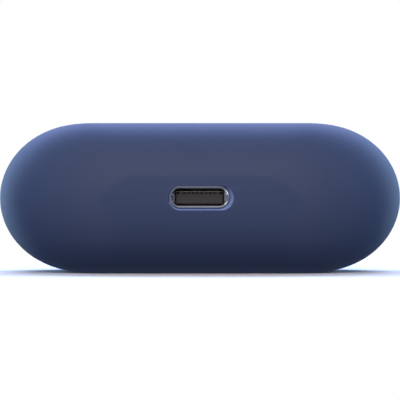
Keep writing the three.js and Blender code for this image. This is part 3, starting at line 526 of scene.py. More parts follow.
def gold_plate(shader):
    """Bright gold plating over nickel, worn in places."""
    gold = colour_of("gold")
    cloud = shader.noise(0.4, 3.0)
    fine = shader.noise(0.06, 1.0)
    edge_mask = shader.edges(0.53, 0.62)
    base = shader.mix(cloud, shade(gold, 0.9), shade(gold, 1.08))
    base = shader.mix(edge_mask * 0.3, base, WORN_GOLD)
    shader.surface(base, 0.18 + cloud * 0.1 + fine * 0.05, fine, relief=0.0006, metallic=1.0)


def enamelled_copper(shader):
    """Copper wire under a thin clear enamel."""
    copper = colour_of("copper")
    cloud = shader.noise(0.8, 3.0)
    fine = shader.noise(0.1, 2.0)
    base = shader.mix(cloud, shade(copper, 0.8), shade(copper, 1.15))
    roughness = 0.32 + fine * 0.12
    coat = 0.6 + cloud * 0.3
    shader.surface(base, roughness, fine, relief=0.002, metallic=1.0, Coat_Weight=coat, Coat_Roughness=0.15)


def nickel_plate(shader):
    """Nickel-plated magnet, with fine tumbling marks."""
    magnet = colour_of("magnet")
    grain = shader.noise(0.12, 3.0)
    edge_mask = shader.edges()
    base = shader.mix(grain, shade(magnet, 0.88), shade(magnet, 1.08))
    base = shader.mix(edge_mask * 0.4, base, shade(magnet, 1.3))
    shader.surface(base, 0.2 + grain * 0.14 - edge_mask * 0.05, grain, relief=0.001, metallic=1.0)


def solder_mask(shader):
    """Circuit board: lacquer over faint copper tracks, with the weave just showing."""
    board = colour_of("board")
    across = shader.smooth(shader.maths("PINGPONG", shader.along("X"), 0.45), 0.17, 0.21)
    patches = shader.smooth(shader.noise(4.0, 0.0, (1.0, 1.0, 0.01)), 0.48, 0.5)
    tracks = across * patches
    weave = shader.maths("PINGPONG", shader.along("Y"), 0.25) * 4.0
    base = shader.mix(tracks * 0.6, board, shade(board, 2.0))
    base = shader.mix(weave * 0.1, base, shade(board, 0.6))
    shader.surface(base, 0.32 + weave * 0.05, tracks, relief=0.02, Coat_Weight=0.4, Coat_Roughness=0.2)


def amber_film(shader):
    """Amber film with copper tracks under it."""
    film = colour_of("film")
    tracks = shader.smooth(shader.maths("PINGPONG", shader.along("Z"), 0.2), 0.07, 0.09)
    cloud = shader.noise(1.0, 2.0)
    base = shader.mix(tracks * 0.7, film, TRACKS_UNDER_FILM)
    base = shader.mix(cloud * 0.25, base, shade(film, 0.6))
    shader.surface(base, 0.3 + cloud * 0.1, tracks, relief=0.01, Specular_IOR_Level=0.6)


def pouch_foil(shader):
    """Matte laminate foil, lightly crumpled."""
    foil = colour_of("foil")
    crumple = shader.noise(2.2, 4.0)
    fine = shader.noise(0.1, 1.0)
    base = shader.mix(crumple, shade(foil, 0.85), shade(foil, 1.1))
    shader.surface(base, 0.36 + fine * 0.1, crumple, relief=0.12, metallic=0.85)


def frosted_clear(shader):
    """Frosted clear plastic that a lamp shines through."""
    clear = colour_of("clear")
    frost = shader.noise(0.07, 2.0)
    cloud = shader.noise(0.6, 2.0)
    base = shader.mix(cloud, shade(clear, 0.94), clear)
    shader.surface(base, 0.3 + frost * 0.15, frost, relief=0.001, Transmission_Weight=0.35, IOR=1.49)


FINISHES = {
    "case_plastic": soft_touch,
    "lining_plastic": satin_lining,
    "dark_plastic": dark_moulding,
    "silicone": soft_rubber,
    "steel": blasted_steel,
    "port_steel": port_steel,
    "gold_plate": gold_plate,
    "copper_wire": enamelled_copper,
    "magnet_nickel": nickel_plate,
    "board_laminate": solder_mask,
    "flex_film": amber_film,
    "pouch_foil": pouch_foil,
    "clear_plastic": frosted_clear,
}


def finish_of(slot):
    """The material of a slot, made once, under a name that no packed material has."""
    name = f"{slot}_finish"
    made = bpy.data.materials.get(name)
    if made is None:
        made = bpy.data.materials.new(name)
        made.use_nodes = True
        FINISHES[slot](Shader(made.node_tree))
    return made


# Forms.


def lerp(first, second, share):
    """A value part of the way from the first to the second."""
    return first + (second - first) * share


def evenly(count, first=0.0, last=1.0):
    """count + 1 numbers from first to last."""
    return [lerp(first, last, i / count) for i in range(count + 1)]


# How many points an outline's arcs and straights have.
FINE = SimpleNamespace(arc=48, straight=40)
SMALL = SimpleNamespace(arc=24, straight=12)
# A length too short to see, in millimetres, and a share too small to matter.
HAIR = 1e-3
TINY = 1e-9
# How far a cutter runs past what it cuts.
PAST = 1.0


def ring(side, half_span, half_height, centre, steps):
    """A closed outline about Y: side gives a point for each share of the way up the right side."""
    points = []
    for sign in (1, -1):
        for share in evenly(steps.arc):
            x, z = side(share)
            points.append(centre + Vector((sign * (half_span + x), 0, sign * z)))
        for share in evenly(steps.straight)[1:-1]:
            points.append(centre + Vector((sign * half_span * (1 - 2 * share), 0, sign * half_height)))
    return points


def slot_ring(width, height, corner, centre, steps=SMALL):
    """The outline of a slot with rounded corners, or of a stadium where the corners meet."""
    upright = height / 2 - corner

    def side(share):
        if upright < HAIR:
            angle = math.pi * (share - 0.5)
            return corner * math.cos(angle), corner * math.sin(angle)
        third = share * 3
        if third <= 1:
            angle = math.pi / 2 * (third - 1)
            return corner * math.cos(angle), corner * math.sin(angle) - upright
        if third <= 2:
            return corner, lerp(-upright, upright, third - 1)
        angle = math.pi / 2 * (third - 2)
        return corner * math.cos(angle), corner * math.sin(angle) + upright

    return ring(side, width / 2 - corner, height / 2, Vector(centre), steps)


def stadium_ring(width, height, centre, steps=SMALL):
    """The outline of a slot with round ends."""
    return slot_ring(width, height, height / 2, centre, steps)


class CaseForm:
    """The case's outer form, and the same form a distance inside it."""

    OUTLINE_SPACING = 0.9
    CROWN_OUTLINES = 34
    HALVINGS = 40

    def __init__(self, size):
        self.size = size
        self.shoulder = HALF_HEIGHT - size.crown_length

    @staticmethod
    def round_off(share, power):
        """From 1 at share 0 to 0 at share 1, along an ellipse or a squarer curve."""
        return max(0.0, 1 - min(share, 1.0) ** power) ** (1 / power)

    def half_width(self, y, inset):
        """Half the form's width at a height."""
        radius = self.size.corner_radius - inset
        past = max(0.0, abs(y) - (HALF_HEIGHT - self.size.corner_radius))
        return HALF_WIDTH - self.size.corner_radius + radius * self.round_off(past / radius, 2)

    def half_thickness(self, y, inset):
        """Half the form's thickness at a height."""
        past = max(0.0, abs(y) - self.shoulder)
        rounding = self.round_off(past / (self.size.crown_length - inset), self.size.crown_power)
        return (HALF_THICKNESS - inset) * rounding

    def section(self, y, inset):
        """The outline of the form at a height: straight front and back, a half ellipse at each side."""
        half = self.half_thickness(y, inset)
        bulge = self.size.end_ratio * half

        def side(share):
            angle = math.pi * (share - 0.5)
            return bulge * math.cos(angle), half * math.sin(angle)

        return ring(side, self.half_width(y, inset) - bulge, half, Vector((0, y, MIDDLE_Z)), FINE)

    def skin(self, inset, start, sign, tip_half=0.0):
        """Outlines from the plane y = start to the crown that sign names, until it is tip_half thick."""
        turn = sign * self.shoulder
        count = max(2, math.ceil(abs(turn - start) / self.OUTLINE_SPACING))
        outlines = [self.section(y, inset) for y in evenly(count, start, turn)[:-1]]
        power = self.size.crown_power
        last = math.asin((tip_half / (HALF_THICKNESS - inset)) ** (power / 2))
        reach = self.size.crown_length - inset
        for angle in evenly(self.CROWN_OUTLINES, math.pi / 2, last):
            past = reach * max(0.0, math.cos(angle)) ** (2 / power)
            outlines.append(self.section(sign * (self.shoulder + past), inset))
        return outlines

    def rim(self, y, inset, rounding, sign, steps=5):
        """Outlines round a rim's edge, from the rim's flat to the skin that goes the way of sign."""
        outlines = []
        for angle in evenly(steps, math.pi / 2, 0.0):
            sunk = rounding * (1 - math.sin(angle))
            outlines.append(self.section(y + sign * sunk, inset + rounding * (1 - math.cos(angle))))
        return outlines

    def cap_y(self, x, z, inset):
        """How far the lower crown's skin lies from the seam at a place near its tip."""
        near, far = self.shoulder, HALF_HEIGHT - inset
        for _ in range(self.HALVINGS):
            y = (near + far) / 2
            half = self.half_thickness(y, inset)
            bulge = self.size.end_ratio * half
            across = max(0.0, abs(x) - (self.half_width(y, inset) - bulge)) / max(bulge, TINY)
            if across**2 + ((z - MIDDLE_Z) / max(half, TINY)) ** 2 < 1:
                near = y
            else:
                far = y
        return -(near + far) / 2

    def patch(self, outer, inner, inset, steps=12):
        """Outlines over the lower crown's tip, from one outline on it to a smaller one."""
        outlines = []
        for share in evenly(steps)[1:]:
            flat = [a.lerp(b, share) for a, b in zip(outer, inner, strict=True)]
            outlines.append([Vector((p.x, self.cap_y(p.x, p.z, inset), p.z)) for p in flat])
        return outlines


class Shape:
    """Points and faces of closed forms, in millimetres."""

    def __init__(self):
        self.points = []
        self.faces = []

    def loft(self, rings, closed=False, caps=True):
        """A skin over a row of outlines with equal numbers of points."""
        start, count = len(self.points), len(rings[0])
        for outline in rings:
            self.points.extend(outline)
        for a in range(len(rings) if closed else len(rings) - 1):
            b = (a + 1) % len(rings)
            for i in range(count):
                j = (i + 1) % count
                corners = (a * count + i, a * count + j, b * count + j, b * count + i)
                self.faces.append(tuple(start + c for c in corners))
        if caps and not closed:
            last = start + (len(rings) - 1) * count
            self.faces.append(tuple(start + i for i in reversed(range(count))))
            self.faces.append(tuple(last + i for i in range(count)))
        return self

    def turned(self, profile, axis, centre, segments=48, closed=False):
        """A form turned about an axis through centre, from (radius, height) pairs."""
        turns = {
            "X": lambda r, h, a: (h, r * math.cos(a), r * math.sin(a)),
            "Y": lambda r, h, a: (r * math.sin(a), h, r * math.cos(a)),
            "Z": lambda r, h, a: (r * math.cos(a), r * math.sin(a), h),
        }
        angles = evenly(segments, 0.0, 2 * math.pi)[:-1]
        middle = Vector(centre)
        rings = [[middle + Vector(turns[axis](r, h, a)) for a in angles] for r, h in profile]
        return self.loft(rings, closed)

    def tube(self, path, radius, sides=10):
        """A round wire along a list of points, with flat ends."""
        rings = []
        across = (path[1] - path[0]).orthogonal().normalized()
        for i, point in enumerate(path):
            along = (path[min(i + 1, len(path) - 1)] - path[max(i - 1, 0)]).normalized()
            across = (across - along * across.dot(along)).normalized()
            other = along.cross(across)
            angles = evenly(sides, 0.0, 2 * math.pi)[:-1]
            rings.append([point + radius * (across * math.cos(a) + other * math.sin(a)) for a in angles])
        return self.loft(rings)

    def box(self, low, high, rounding=0.0, steps=3):
        """A block, with its edges rounded."""
        block = bmesh.new()
        bmesh.ops.create_cube(block, size=1.0)
        spans = [h - l for l, h in zip(low, high, strict=True)]
        middle = [(h + l) / 2 for l, h in zip(low, high, strict=True)]
        bmesh.ops.scale(block, vec=spans, verts=block.verts)
        bmesh.ops.translate(block, vec=middle, verts=block.verts)
        if rounding:
            bmesh.ops.bevel(
                block, geom=block.edges[:], offset=rounding, segments=steps, profile=0.5, affect="EDGES"
            )
        start = len(self.points)
        block.verts.index_update()
        self.points.extend(v.co.copy() for v in block.verts)
        self.faces.extend(tuple(start + v.index for v in face.verts) for face in block.faces)
        block.free()
        return self

    def prism(self, outline, axis, low, high):
        """An outline of pairs drawn out along an axis; the pairs follow the two other axes in order."""
        places = {
            "X": lambda p, d: (d, p[0], p[1]),
            "Y": lambda p, d: (p[0], d, p[1]),
            "Z": lambda p, d: (*p, d),
        }
        return self.loft([[Vector(places[axis](p, d)) for p in outline] for d in (low, high)])


MERGE_DISTANCE = 1e-4


def solid(name, shape):
    """An object of a closed form, its faces pointing out."""
    mesh = bpy.data.meshes.new(name)
    mesh.from_pydata([tuple(p) for p in shape.points], [], shape.faces)
    form = bmesh.new()
    form.from_mesh(mesh)
    bmesh.ops.remove_doubles(form, verts=form.verts, dist=MERGE_DISTANCE)
    bmesh.ops.recalc_face_normals(form, faces=form.faces)
    form.to_mesh(mesh)
    form.free()
    made = bpy.data.objects.new(name, mesh)
    bpy.context.scene.collection.objects.link(made)
    return made


def combine(obj, operation, shapes):
    """Joins shapes to an object or cuts them out of it."""
    tools = [solid(f"{obj.name}_tool_{i}", shape) for i, shape in enumerate(shapes)]
    for tool in tools:
        step = obj.modifiers.new(tool.name, "BOOLEAN")
        step.operation = operation
        step.solver = "EXACT"
        step.object = tool
    seen = obj.evaluated_get(bpy.context.evaluated_depsgraph_get())
    mesh = bpy.data.meshes.new_from_object(seen)
    if not mesh.polygons:
        raise RuntimeError(f"nothing is left of {obj.name} after its {operation.lower()}")
    obj.modifiers.clear()
    obj.data = mesh
    for tool in tools:
        bpy.data.objects.remove(tool)
    return obj


def cut(obj, shapes):
    """Cuts shapes out of an object."""
    return combine(obj, "DIFFERENCE", shapes)


def join(obj, shapes):
    """Joins shapes to an object."""
    return combine(obj, "UNION", shapes)


# Angles in degrees over which an edge stays sharp or is eased, and the most that stray points lie apart.
SHARP_ANGLE = 38.0
WIRE_SHARP_ANGLE = 60.0
EASED_ANGLE = 35.0
WELD_DISTANCE = 0.002


def settle_normals(obj):
    """Lets large faces keep their own direction, so that roundings end cleanly."""
    step = obj.modifiers.new("even normals", "WEIGHTED_NORMAL")
    step.keep_sharp = True
    step.weight = 50


def finish(obj, slot, body="case_body", replaces=(), sharp=SHARP_ANGLE):
    """Puts a form in its place: in metres, smooth but for sharp edges, in its material, on its body."""
    obj.data.transform(Matrix.Scale(MM, 4))
    form = bmesh.new()
    form.from_mesh(obj.data)
    for face in form.faces:
        face.smooth = True
    for edge in form.edges:
        edge.smooth = len(edge.link_faces) == 2 and edge.calc_face_angle() < math.radians(sharp)
    form.to_mesh(obj.data)
    form.free()
    obj.data.materials.clear()
    obj.data.materials.append(finish_of(slot))
    settle_normals(obj)
    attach(obj, body)
    if replaces:
        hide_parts(*replaces)
    return obj


def dress(node, slot, rounding=0.06):
    """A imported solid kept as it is: its edges eased and its material set."""
    obj = frame["nodes"][node]
    obj.data.materials.clear()
    obj.data.materials.append(finish_of(slot))
    weld = obj.modifiers.new("weld", "WELD")
    weld.merge_threshold = WELD_DISTANCE * MM
    ease = obj.modifiers.new("eased edges", "BEVEL")
    ease.width = rounding * MM
    ease.segments = 2
    ease.limit_method = "ANGLE"
    ease.angle_limit = math.radians(EASED_ANGLE)
    settle_normals(obj)


def shortens(spring, node, joint, axis):
    """Gives a spring its own mesh. How much of it would stay when its joint is pressed, shortened a hair more than
    the travel from its fixed low end, is worked out but not used.
    """
    low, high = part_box(node)
    keep = 1 - PRESS_MARGIN * TRAVELS[joint] / (high - low).dot(Vector(axis))
    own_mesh(spring)


# Cutters that both casings share.


GROOVE_LIFT = 0.005
WINDOW_CORNER = 0.35
WINDOW_DEPTH = 2.0


def fold_groove(size):
    """The relief that lets the lid fold back: a wedge from the hinge's axis, with rounded outer edges."""
    slope = GROOVE_HALF_ANGLE
    rounding = size.groove_rounding
    top = THICKNESS - HINGE_Z + GROOVE_LIFT
    centre_w = top - rounding
    centre_u = (rounding + centre_w * math.sin(slope)) / math.cos(slope)
    right = [(0.0, 0.0)]
    for angle in evenly(6, math.pi - slope, math.pi / 2):
        right.append((centre_u + rounding * math.cos(angle), centre_w + rounding * math.sin(angle)))
    right.append((right[-1][0], top + PAST))
    left = [(-u, w) for u, w in reversed(right[1:])]
    outline = [(SEAM_Y + u, HINGE_Z + w) for u, w in right + left]
    return Shape().prism(outline, "X", -HALF_WIDTH - PAST, HALF_WIDTH + PAST)


def hinge_window(size):
    """The opening over the hinge's knuckles."""
    half, reach, corner = size.window_half_width, size.window_reach, WINDOW_CORNER
    outline = []
    for sx, sy, start in ((1, 1, 0), (-1, 1, 1), (-1, -1, 2), (1, -1, 3)):
        for angle in evenly(5, start * math.pi / 2, (start + 1) * math.pi / 2):
            x = sx * (half - corner) + corner * math.cos(angle)
            outline.append((x, SEAM_Y + sy * (reach - corner) + corner * math.sin(angle)))
    return Shape().prism(outline, "Z", HINGE_Z - WINDOW_DEPTH, THICKNESS + PAST)


HOLE_DEPTH = 4.0
# An angle that a rounding stops short of flat, so that it doesn't graze the face it meets.
SHORT_OF_FLAT = 0.12


def round_hole(radius, rounding, face_z, middle, outward):
    """A round hole along Z through a flat wall, its outer edge rounded. Outward is the way out."""
    profile = [(0.0, -HOLE_DEPTH), (radius, -HOLE_DEPTH)]
    for angle in evenly(5, 0.0, math.pi / 2 - SHORT_OF_FLAT):
        profile.append((radius + rounding * (1 - math.cos(angle)), rounding * (math.sin(angle) - 1)))
    profile += [(profile[-1][0] + 0.05, PAST / 2), (0.0, PAST / 2)]
    profile = [(r, face_z + outward * h) for r, h in profile]
    return Shape().turned(profile, "Z", (middle.x, middle.y, 0), 56)


PILOT_RADIUS = 0.58
PILOT_SPARE = 0.1


def screw_pilots(plate_node, screw_node, way):
    """Blind holes up into the back wall for a hinge plate's two screws."""
    low = box_mm(plate_node)[1].z - PAST / 2
    places = [middle_mm(f"{screw_node}_{side}") for side in SIDES]
    top = box_mm(f"{screw_node}_left")[1].z + PILOT_SPARE
    profile = [(0.0, low), (PILOT_RADIUS, low), (PILOT_RADIUS, top), (0.0, top + 2 * PILOT_SPARE)]
    return [Shape().turned(profile, "Z", (p.x, p.y, 0), 24) for p in places if way * (p.y - SEAM_Y) > 0]


# Casings.


class CASE_OT_body_casing(bpy.types.Operator):
    """Casing of the body, with the port's bevelled hole, the button's and the light's"""

    bl_idname = "earbuds_case.body_casing"
    bl_label = "Body casing"

    TIP_HALF = 3.0
    BUTTON_HOLE_ROUNDING = 0.3
    LIGHT_HOLE_ROUNDING = 0.12

    def hole(self, size, inset, share, depth, form):
        """An outline of the port's hole, a share of the way from its mouth to the port's shell."""
        centre = (size.port_hole_x, 0, MIDDLE_Z - size.port_hole_drop)
        mouth = stadium_ring(size.port_hole_width, size.port_hole_height, centre, FINE)
        spans = PORT_HIGH - PORT_LOW + Vector((1, 1, 1)) * 2 * size.port_gap
        throat = stadium_ring(spans.x, spans.z, (PORT_MIDDLE.x, 0, PORT_MIDDLE.z), FINE)
        flat = [a.lerp(b, share) for a, b in zip(mouth, throat, strict=True)]
        return [Vector((p.x, form.cap_y(p.x, p.z, inset) + depth, p.z)) for p in flat]

    def execute(self, context):
        size = sizes()
        form = CaseForm(size)
        bevel = size.port_hole_taper
        outer = form.rim(BODY_TOP_Y, 0.0, size.rim_rounding, -1)
        outer += form.skin(0.0, BODY_TOP_Y - size.rim_rounding, -1, self.TIP_HALF)[1:]
        outer += form.patch(outer[-1], self.hole(size, 0.0, 0.0, 0.0, form), 0.0)
        hole = [self.hole(size, 0.0, share, bevel * share, form) for share in evenly(5)[1:]]
        within = self.hole(size, size.wall, 1.0, 0.0, form)
        inner = form.rim(BODY_TOP_Y, size.wall, size.rim_easing, -1, 3)
        inner = [form.section(BODY_TOP_Y, size.wall - size.rim_easing)] + inner[1:]
        inner += form.skin(size.wall, BODY_TOP_Y - size.rim_easing, -1, self.TIP_HALF)[1:]
        inner += form.patch(inner[-1], within, size.wall)
        casing = solid("body_casing", Shape().loft(outer + hole + inner[::-1], closed=True))
        button = round_hole(size.button_hole_radius, self.BUTTON_HOLE_ROUNDING, THICKNESS, BUTTON_MIDDLE, 1)
        light = round_hole(size.light_hole_radius, self.LIGHT_HOLE_ROUNDING, 0.0, LIGHT_MIDDLE, -1)
        pilots = screw_pilots("hinge_base", "hinge_base_screw", -1)
        cut(casing, [fold_groove(size), hinge_window(size), button, light, *pilots])
        finish(casing, "case_plastic", "case_body", ["body_shell"])
        return {"FINISHED"}


class CASE_OT_lid_casing(bpy.types.Operator):
    """Casing of the lid"""

    bl_idname = "earbuds_case.lid_casing"
    bl_label = "Lid casing"

    def execute(self, context):
        size = sizes()
        form = CaseForm(size)
        outer = form.rim(LID_FOOT_Y, 0.0, size.rim_rounding, 1)
        outer += form.skin(0.0, LID_FOOT_Y + size.rim_rounding, 1)[1:]
        inner = [form.section(LID_FOOT_Y, size.wall - size.rim_easing)]
        inner += form.rim(LID_FOOT_Y, size.wall, size.rim_easing, 1, 3)[1:]
        inner += form.skin(size.wall, LID_FOOT_Y + size.rim_easing, 1)[1:]
        casing = solid("lid_casing", Shape().loft(outer[::-1] + inner, caps=False))
        pilots = screw_pilots("hinge_leaf", "hinge_leaf_screw", 1)
        cut(casing, [fold_groove(size), hinge_window(size), *pilots])
        finish(casing, "case_plastic", "lid", ["lid_shell"])
        return {"FINISHED"}


# The earbuds' cradle and the lid's liner.


def bowl(size, middle, half, depth, mouth_y, out, grow=0.0):
    """A bowl sunk from a deck's face at y = mouth_y, where out is the way out of it along Y.

    With no growth it is the hollow, with a rounded mouth; grown, it is the outside of the bowl's wall.
    """
    power, rounding = size.bowl_power, size.bowl_rounding
    top = size.deck_thickness / 2 if grow else rounding
    reach = depth + grow
    profile = [(0.0, 0.0, -reach)]
    for angle in evenly(24, 0.12, math.pi / 2 - 1e-6):
        height = -reach * math.cos(angle) ** (2 / power)
        if height < -top - 0.1:
            profile.append((math.sin(angle) ** (2 / power), 0.0, height))
    if grow:
        profile.append((1.0, 0.0, -top))
    else:
        for angle in evenly(6, 0.0, math.pi / 2 - 0.1):
            profile.append((1.0, rounding * (1 - math.cos(angle)), rounding * (math.sin(angle) - 1)))
        profile.append((1.0, rounding, 1.5))
    profile.append((0.0, 0.0, profile[-1][2]))
    angles = evenly(72, 0.0, 2 * math.pi)[:-1]
    rings = []
    for share, wider, height in profile:
        rx, rz = share * (half[0] + grow) + wider, share * (half[1] + grow) + wider
        y = mouth_y + out * height
        rings.append([Vector((middle.x + rx * math.cos(a), y, middle.z + rz * math.sin(a))) for a in angles])
    return Shape().loft(rings, caps=False)


def wells(size, grow=0.0):
    """Both wells of the cradle, each with its nozzle pocket."""
    shapes = []
    for sign in SIDES.values():
        middle = Vector((sign * WELL_MIDDLE.x, 0, WELL_MIDDLE.z))
        pocket = middle - Vector((sign * size.pocket_x, 0, size.pocket_z))
        half = (size.well_rx, size.well_rz)
        shapes.append(bowl(size, middle, half, size.well_depth, CRADLE_TOP_Y, 1, grow))
        half = (size.pocket_rx, size.pocket_rz)
        shapes.append(bowl(size, pocket, half, size.pocket_depth, CRADLE_TOP_Y, 1, grow))
    return shapes


def recesses(size, grow=0.0):
    """Both recesses of the lid's liner."""
    half = (size.recess_rx, size.recess_rz)
    middles = [Vector((sign * WELL_MIDDLE.x, 0, WELL_MIDDLE.z)) for sign in SIDES.values()]
    return [bowl(size, middle, half, size.recess_depth, LINER_FACE_Y, -1, grow) for middle in middles]


DECK_EDGE = 0.12
NOTCH_ROUNDING = 0.3


def hinge_notch(size, low_y, high_y):
    """Room for the hinge's knuckles at the back of a deck."""
    half, front = size.notch_half_width, size.notch_z
    return Shape().box((-half, low_y, front), (half, high_y, THICKNESS), NOTCH_ROUNDING)


class CASE_OT_earbud_cradle(bpy.types.Operator):
    """Cradle in the body's mouth, with a well for each earbud"""

    bl_idname = "earbuds_case.earbud_cradle"
    bl_label = "Earbud cradle"

    # The webs under the deck: half width, foot, front and back.
    WEBS = [(6, -9.2, 15.4, 16.2), (10, -1.5, 3.4, 4.2)]
    WEB_ROUNDING = 0.1

    def execute(self, context):
        size = sizes()
        form = CaseForm(size)
        inset = size.wall + size.fit_gap
        top = CRADLE_TOP_Y
        deck = [form.section(top - size.deck_thickness, inset), *form.rim(top, inset, DECK_EDGE, -1, 3)[::-1]]
        cradle = solid("cradle", Shape().loft(deck))
        under = top - size.deck_thickness / 2
        webs = []
        for half, foot, low, high in self.WEBS:
            webs.append(Shape().box((-half, foot, low), (half, under, high), self.WEB_ROUNDING))
        join(cradle, [*wells(size, size.bowl_wall), *webs])
        holes = []
        for name in PLUNGERS:
            place = middle_mm(f"contact_plunger_{name}")
            radius = size.contact_hole_radius
            profile = [(0.0, -3.0), (radius, -3.0), (radius, -0.05), (radius + 0.2, 0.15)]
            profile += [(radius + 0.2, 2.0), (0.0, 2.0)]
            floor_y = CRADLE_TOP_Y - size.well_depth
            holes.append(Shape().turned(profile, "Y", (place.x, floor_y, place.z), 28))
        cut(cradle, [*wells(size), *holes, hinge_notch(size, top - 2, top + 1)])
        finish(cradle, "lining_plastic", "case_body", ["earbud_cradle"])
        return {"FINISHED"}


class CASE_OT_lid_liner(bpy.types.Operator):
    """Liner in the lid's mouth, with a recess over each earbud"""

    bl_idname = "earbuds_case.lid_liner"
    bl_label = "Lid liner"

    def execute(self, context):
        size = sizes()
        form = CaseForm(size)
        inset = size.wall + size.fit_gap
        face = LINER_FACE_Y
        deck = [form.section(face + size.deck_thickness, inset), *form.rim(face, inset, DECK_EDGE, 1, 3)[::-1]]
        liner = solid("liner", Shape().loft(deck))
        join(liner, recesses(size, size.bowl_wall))
        cut(liner, [*recesses(size), hinge_notch(size, face - 1, face + 2)])
        finish(liner, "lining_plastic", "lid", ["lid_liner"])
        return {"FINISHED"}


# The charging port.


class CASE_OT_charging_port(bpy.types.Operator):
    """Charging port: metal shell, insulator, contacts, gasket and bracket"""

    bl_idname = "earbuds_case.charging_port"
    bl_label = "Charging port"

    # How far an outline's corners stay short of half circles, so that the next can have smaller ones.
    SHORT_CORNER = 0.002
    COLLAR_GAP = 0.1
    SEAL_RIB = 0.12
    SEAL_BORE = 0.2

    def metal_shell(self, size):
        """The drawn shell: a flared lip, a funnel that leads the plug in, and the throat."""
        spans = PORT_HIGH - PORT_LOW
        x, face, z = PORT_MIDDLE.x, PORT_FACE_Y, PORT_MIDDLE.z
        lip = size.port_lip_rounding

        def stadium(width, height, y):
            return slot_ring(width, height, height / 2 - self.SHORT_CORNER, (x, y, z))

        rings = [stadium(spans.x, spans.z, PORT_HIGH.y)]
        for angle in evenly(4, 0.0, math.pi / 2):
            sunk = 2 * lip * (1 - math.cos(angle))
            rings.append(stadium(spans.x - sunk, spans.z - sunk, face + lip * (1 - math.sin(angle))))
        flare = size.port_flare
        rim = spans.x - 2 * lip - size.port_mouth_width
        for angle in evenly(6, 0.0, flare)[1:]:
            inward = rim * math.sin(angle) / math.sin(flare)
            sunk = rim / 2 * (1 - math.cos(angle)) / math.sin(flare)
            rings.append(stadium(spans.x - 2 * lip - inward, spans.z - 2 * lip - inward, face + sunk))
        start = rings[-1][0].y
        mouth_height = spans.z - 2 * lip - rim
        for share in evenly(8)[1:]:
            eased = math.sin(share * math.pi / 2)
            width = lerp(size.port_mouth_width, size.port_throat_width, eased)
            height = lerp(mouth_height, size.port_throat_height, eased)
            corner = lerp(mouth_height / 2 - self.SHORT_CORNER, size.port_throat_corner, eased)
            y = lerp(start, face + size.port_funnel, share)
            rings.append(slot_ring(width, height, corner, (x, y, z)))
        last = (size.port_throat_width, size.port_throat_height, size.port_throat_corner)
        rings.append(slot_ring(*last, (x, PORT_HIGH.y, z)))
        shell = solid("port_metal_shell", Shape().loft(rings, closed=True))
        finish(shell, "port_steel", "case_body", ["port_shell"])

    def insulator(self, size):
        """The block in the port, with a channel for each contact and a key notch at each end."""
        back, rounding = INSULATOR_HIGH.y, size.insulator_rounding
        half = size.insulator_half_width
        low = Vector((PORT_MIDDLE.x - half, INSULATOR_LOW.y, PORT_MIDDLE.z - size.insulator_drop))
        high = Vector((PORT_MIDDLE.x + half, back - self.COLLAR_GAP, PORT_MIDDLE.z + size.insulator_rise))
        block = solid("port_insulator_block", Shape().box(low, high, rounding))
        gap = self.COLLAR_GAP
        spans = (size.port_throat_width - gap, size.port_throat_height - gap, size.port_throat_corner)
        centres = [(PORT_MIDDLE.x, y, PORT_MIDDLE.z) for y in (back - size.insulator_flange, back)]
        join(block, [Shape().loft([slot_ring(*spans, centre) for centre in centres])])
        reach = (size.contact_count - 1) / 2
        places = [(i - reach) * size.contact_pitch for i in range(size.contact_count)]
        top = high.z - size.insulator_lip
        channels = []
        for x in [-size.key_notch_x, *places, size.key_notch_x]:
            across = PORT_MIDDLE.x + x
            half, tall = size.channel_width / 2, size.channel_height
            arch = evenly(6, 0, math.pi)
            outline = [(across + half * math.cos(a), top - half + half * math.sin(a)) for a in arch]
            outline += [(across - half, top - tall), (across + half, top - tall)]
            channels.append(Shape().prism(outline, "Y", low.y - PAST, high.y + PAST))
        cut(block, channels)
        finish(block, "dark_plastic", "case_body", ["port_insulator"], sharp=40.0)

    def gasket(self, size):
        """The ring of soft rubber that seals the shell to the casing, with two sealing ribs."""
        low, high = box_mm("port_gasket")
        spans = PORT_HIGH - PORT_LOW
        middle = (low + high) / 2
        wide = (high.x - low.x) / 2 - spans.x / 2
        rings = []
        for share in evenly(12):
            rib = self.SEAL_RIB * (0.5 - 0.5 * math.cos(4 * math.pi * share))
            grow = 2 * (wide - self.SEAL_RIB + rib)
            y = lerp(low.y, high.y, share)
            rings.append(stadium_ring(spans.x + grow, spans.z + grow, (middle.x, y, middle.z)))
        for y in (high.y, low.y):
            bore = (spans.x + self.SEAL_BORE, spans.z + self.SEAL_BORE)
            rings.append(stadium_ring(*bore, (middle.x, y, middle.z)))
        seal = solid("port_seal", Shape().loft(rings, closed=True))
        finish(seal, "silicone", "case_body", ["port_gasket"])

    def execute(self, context):
        size = sizes()
        self.metal_shell(size)
        self.insulator(size)
        self.gasket(size)
        dress("port_contacts", "gold_plate", 0.02)
        dress("port_bracket", "steel", 0.05)
        return {"FINISHED"}


# Turned and wound pieces.


SCREW = SimpleNamespace(head=0.35, crown=0.12, pitch=0.22, root=0.82, slot_half=0.12, slot_depth=0.19)


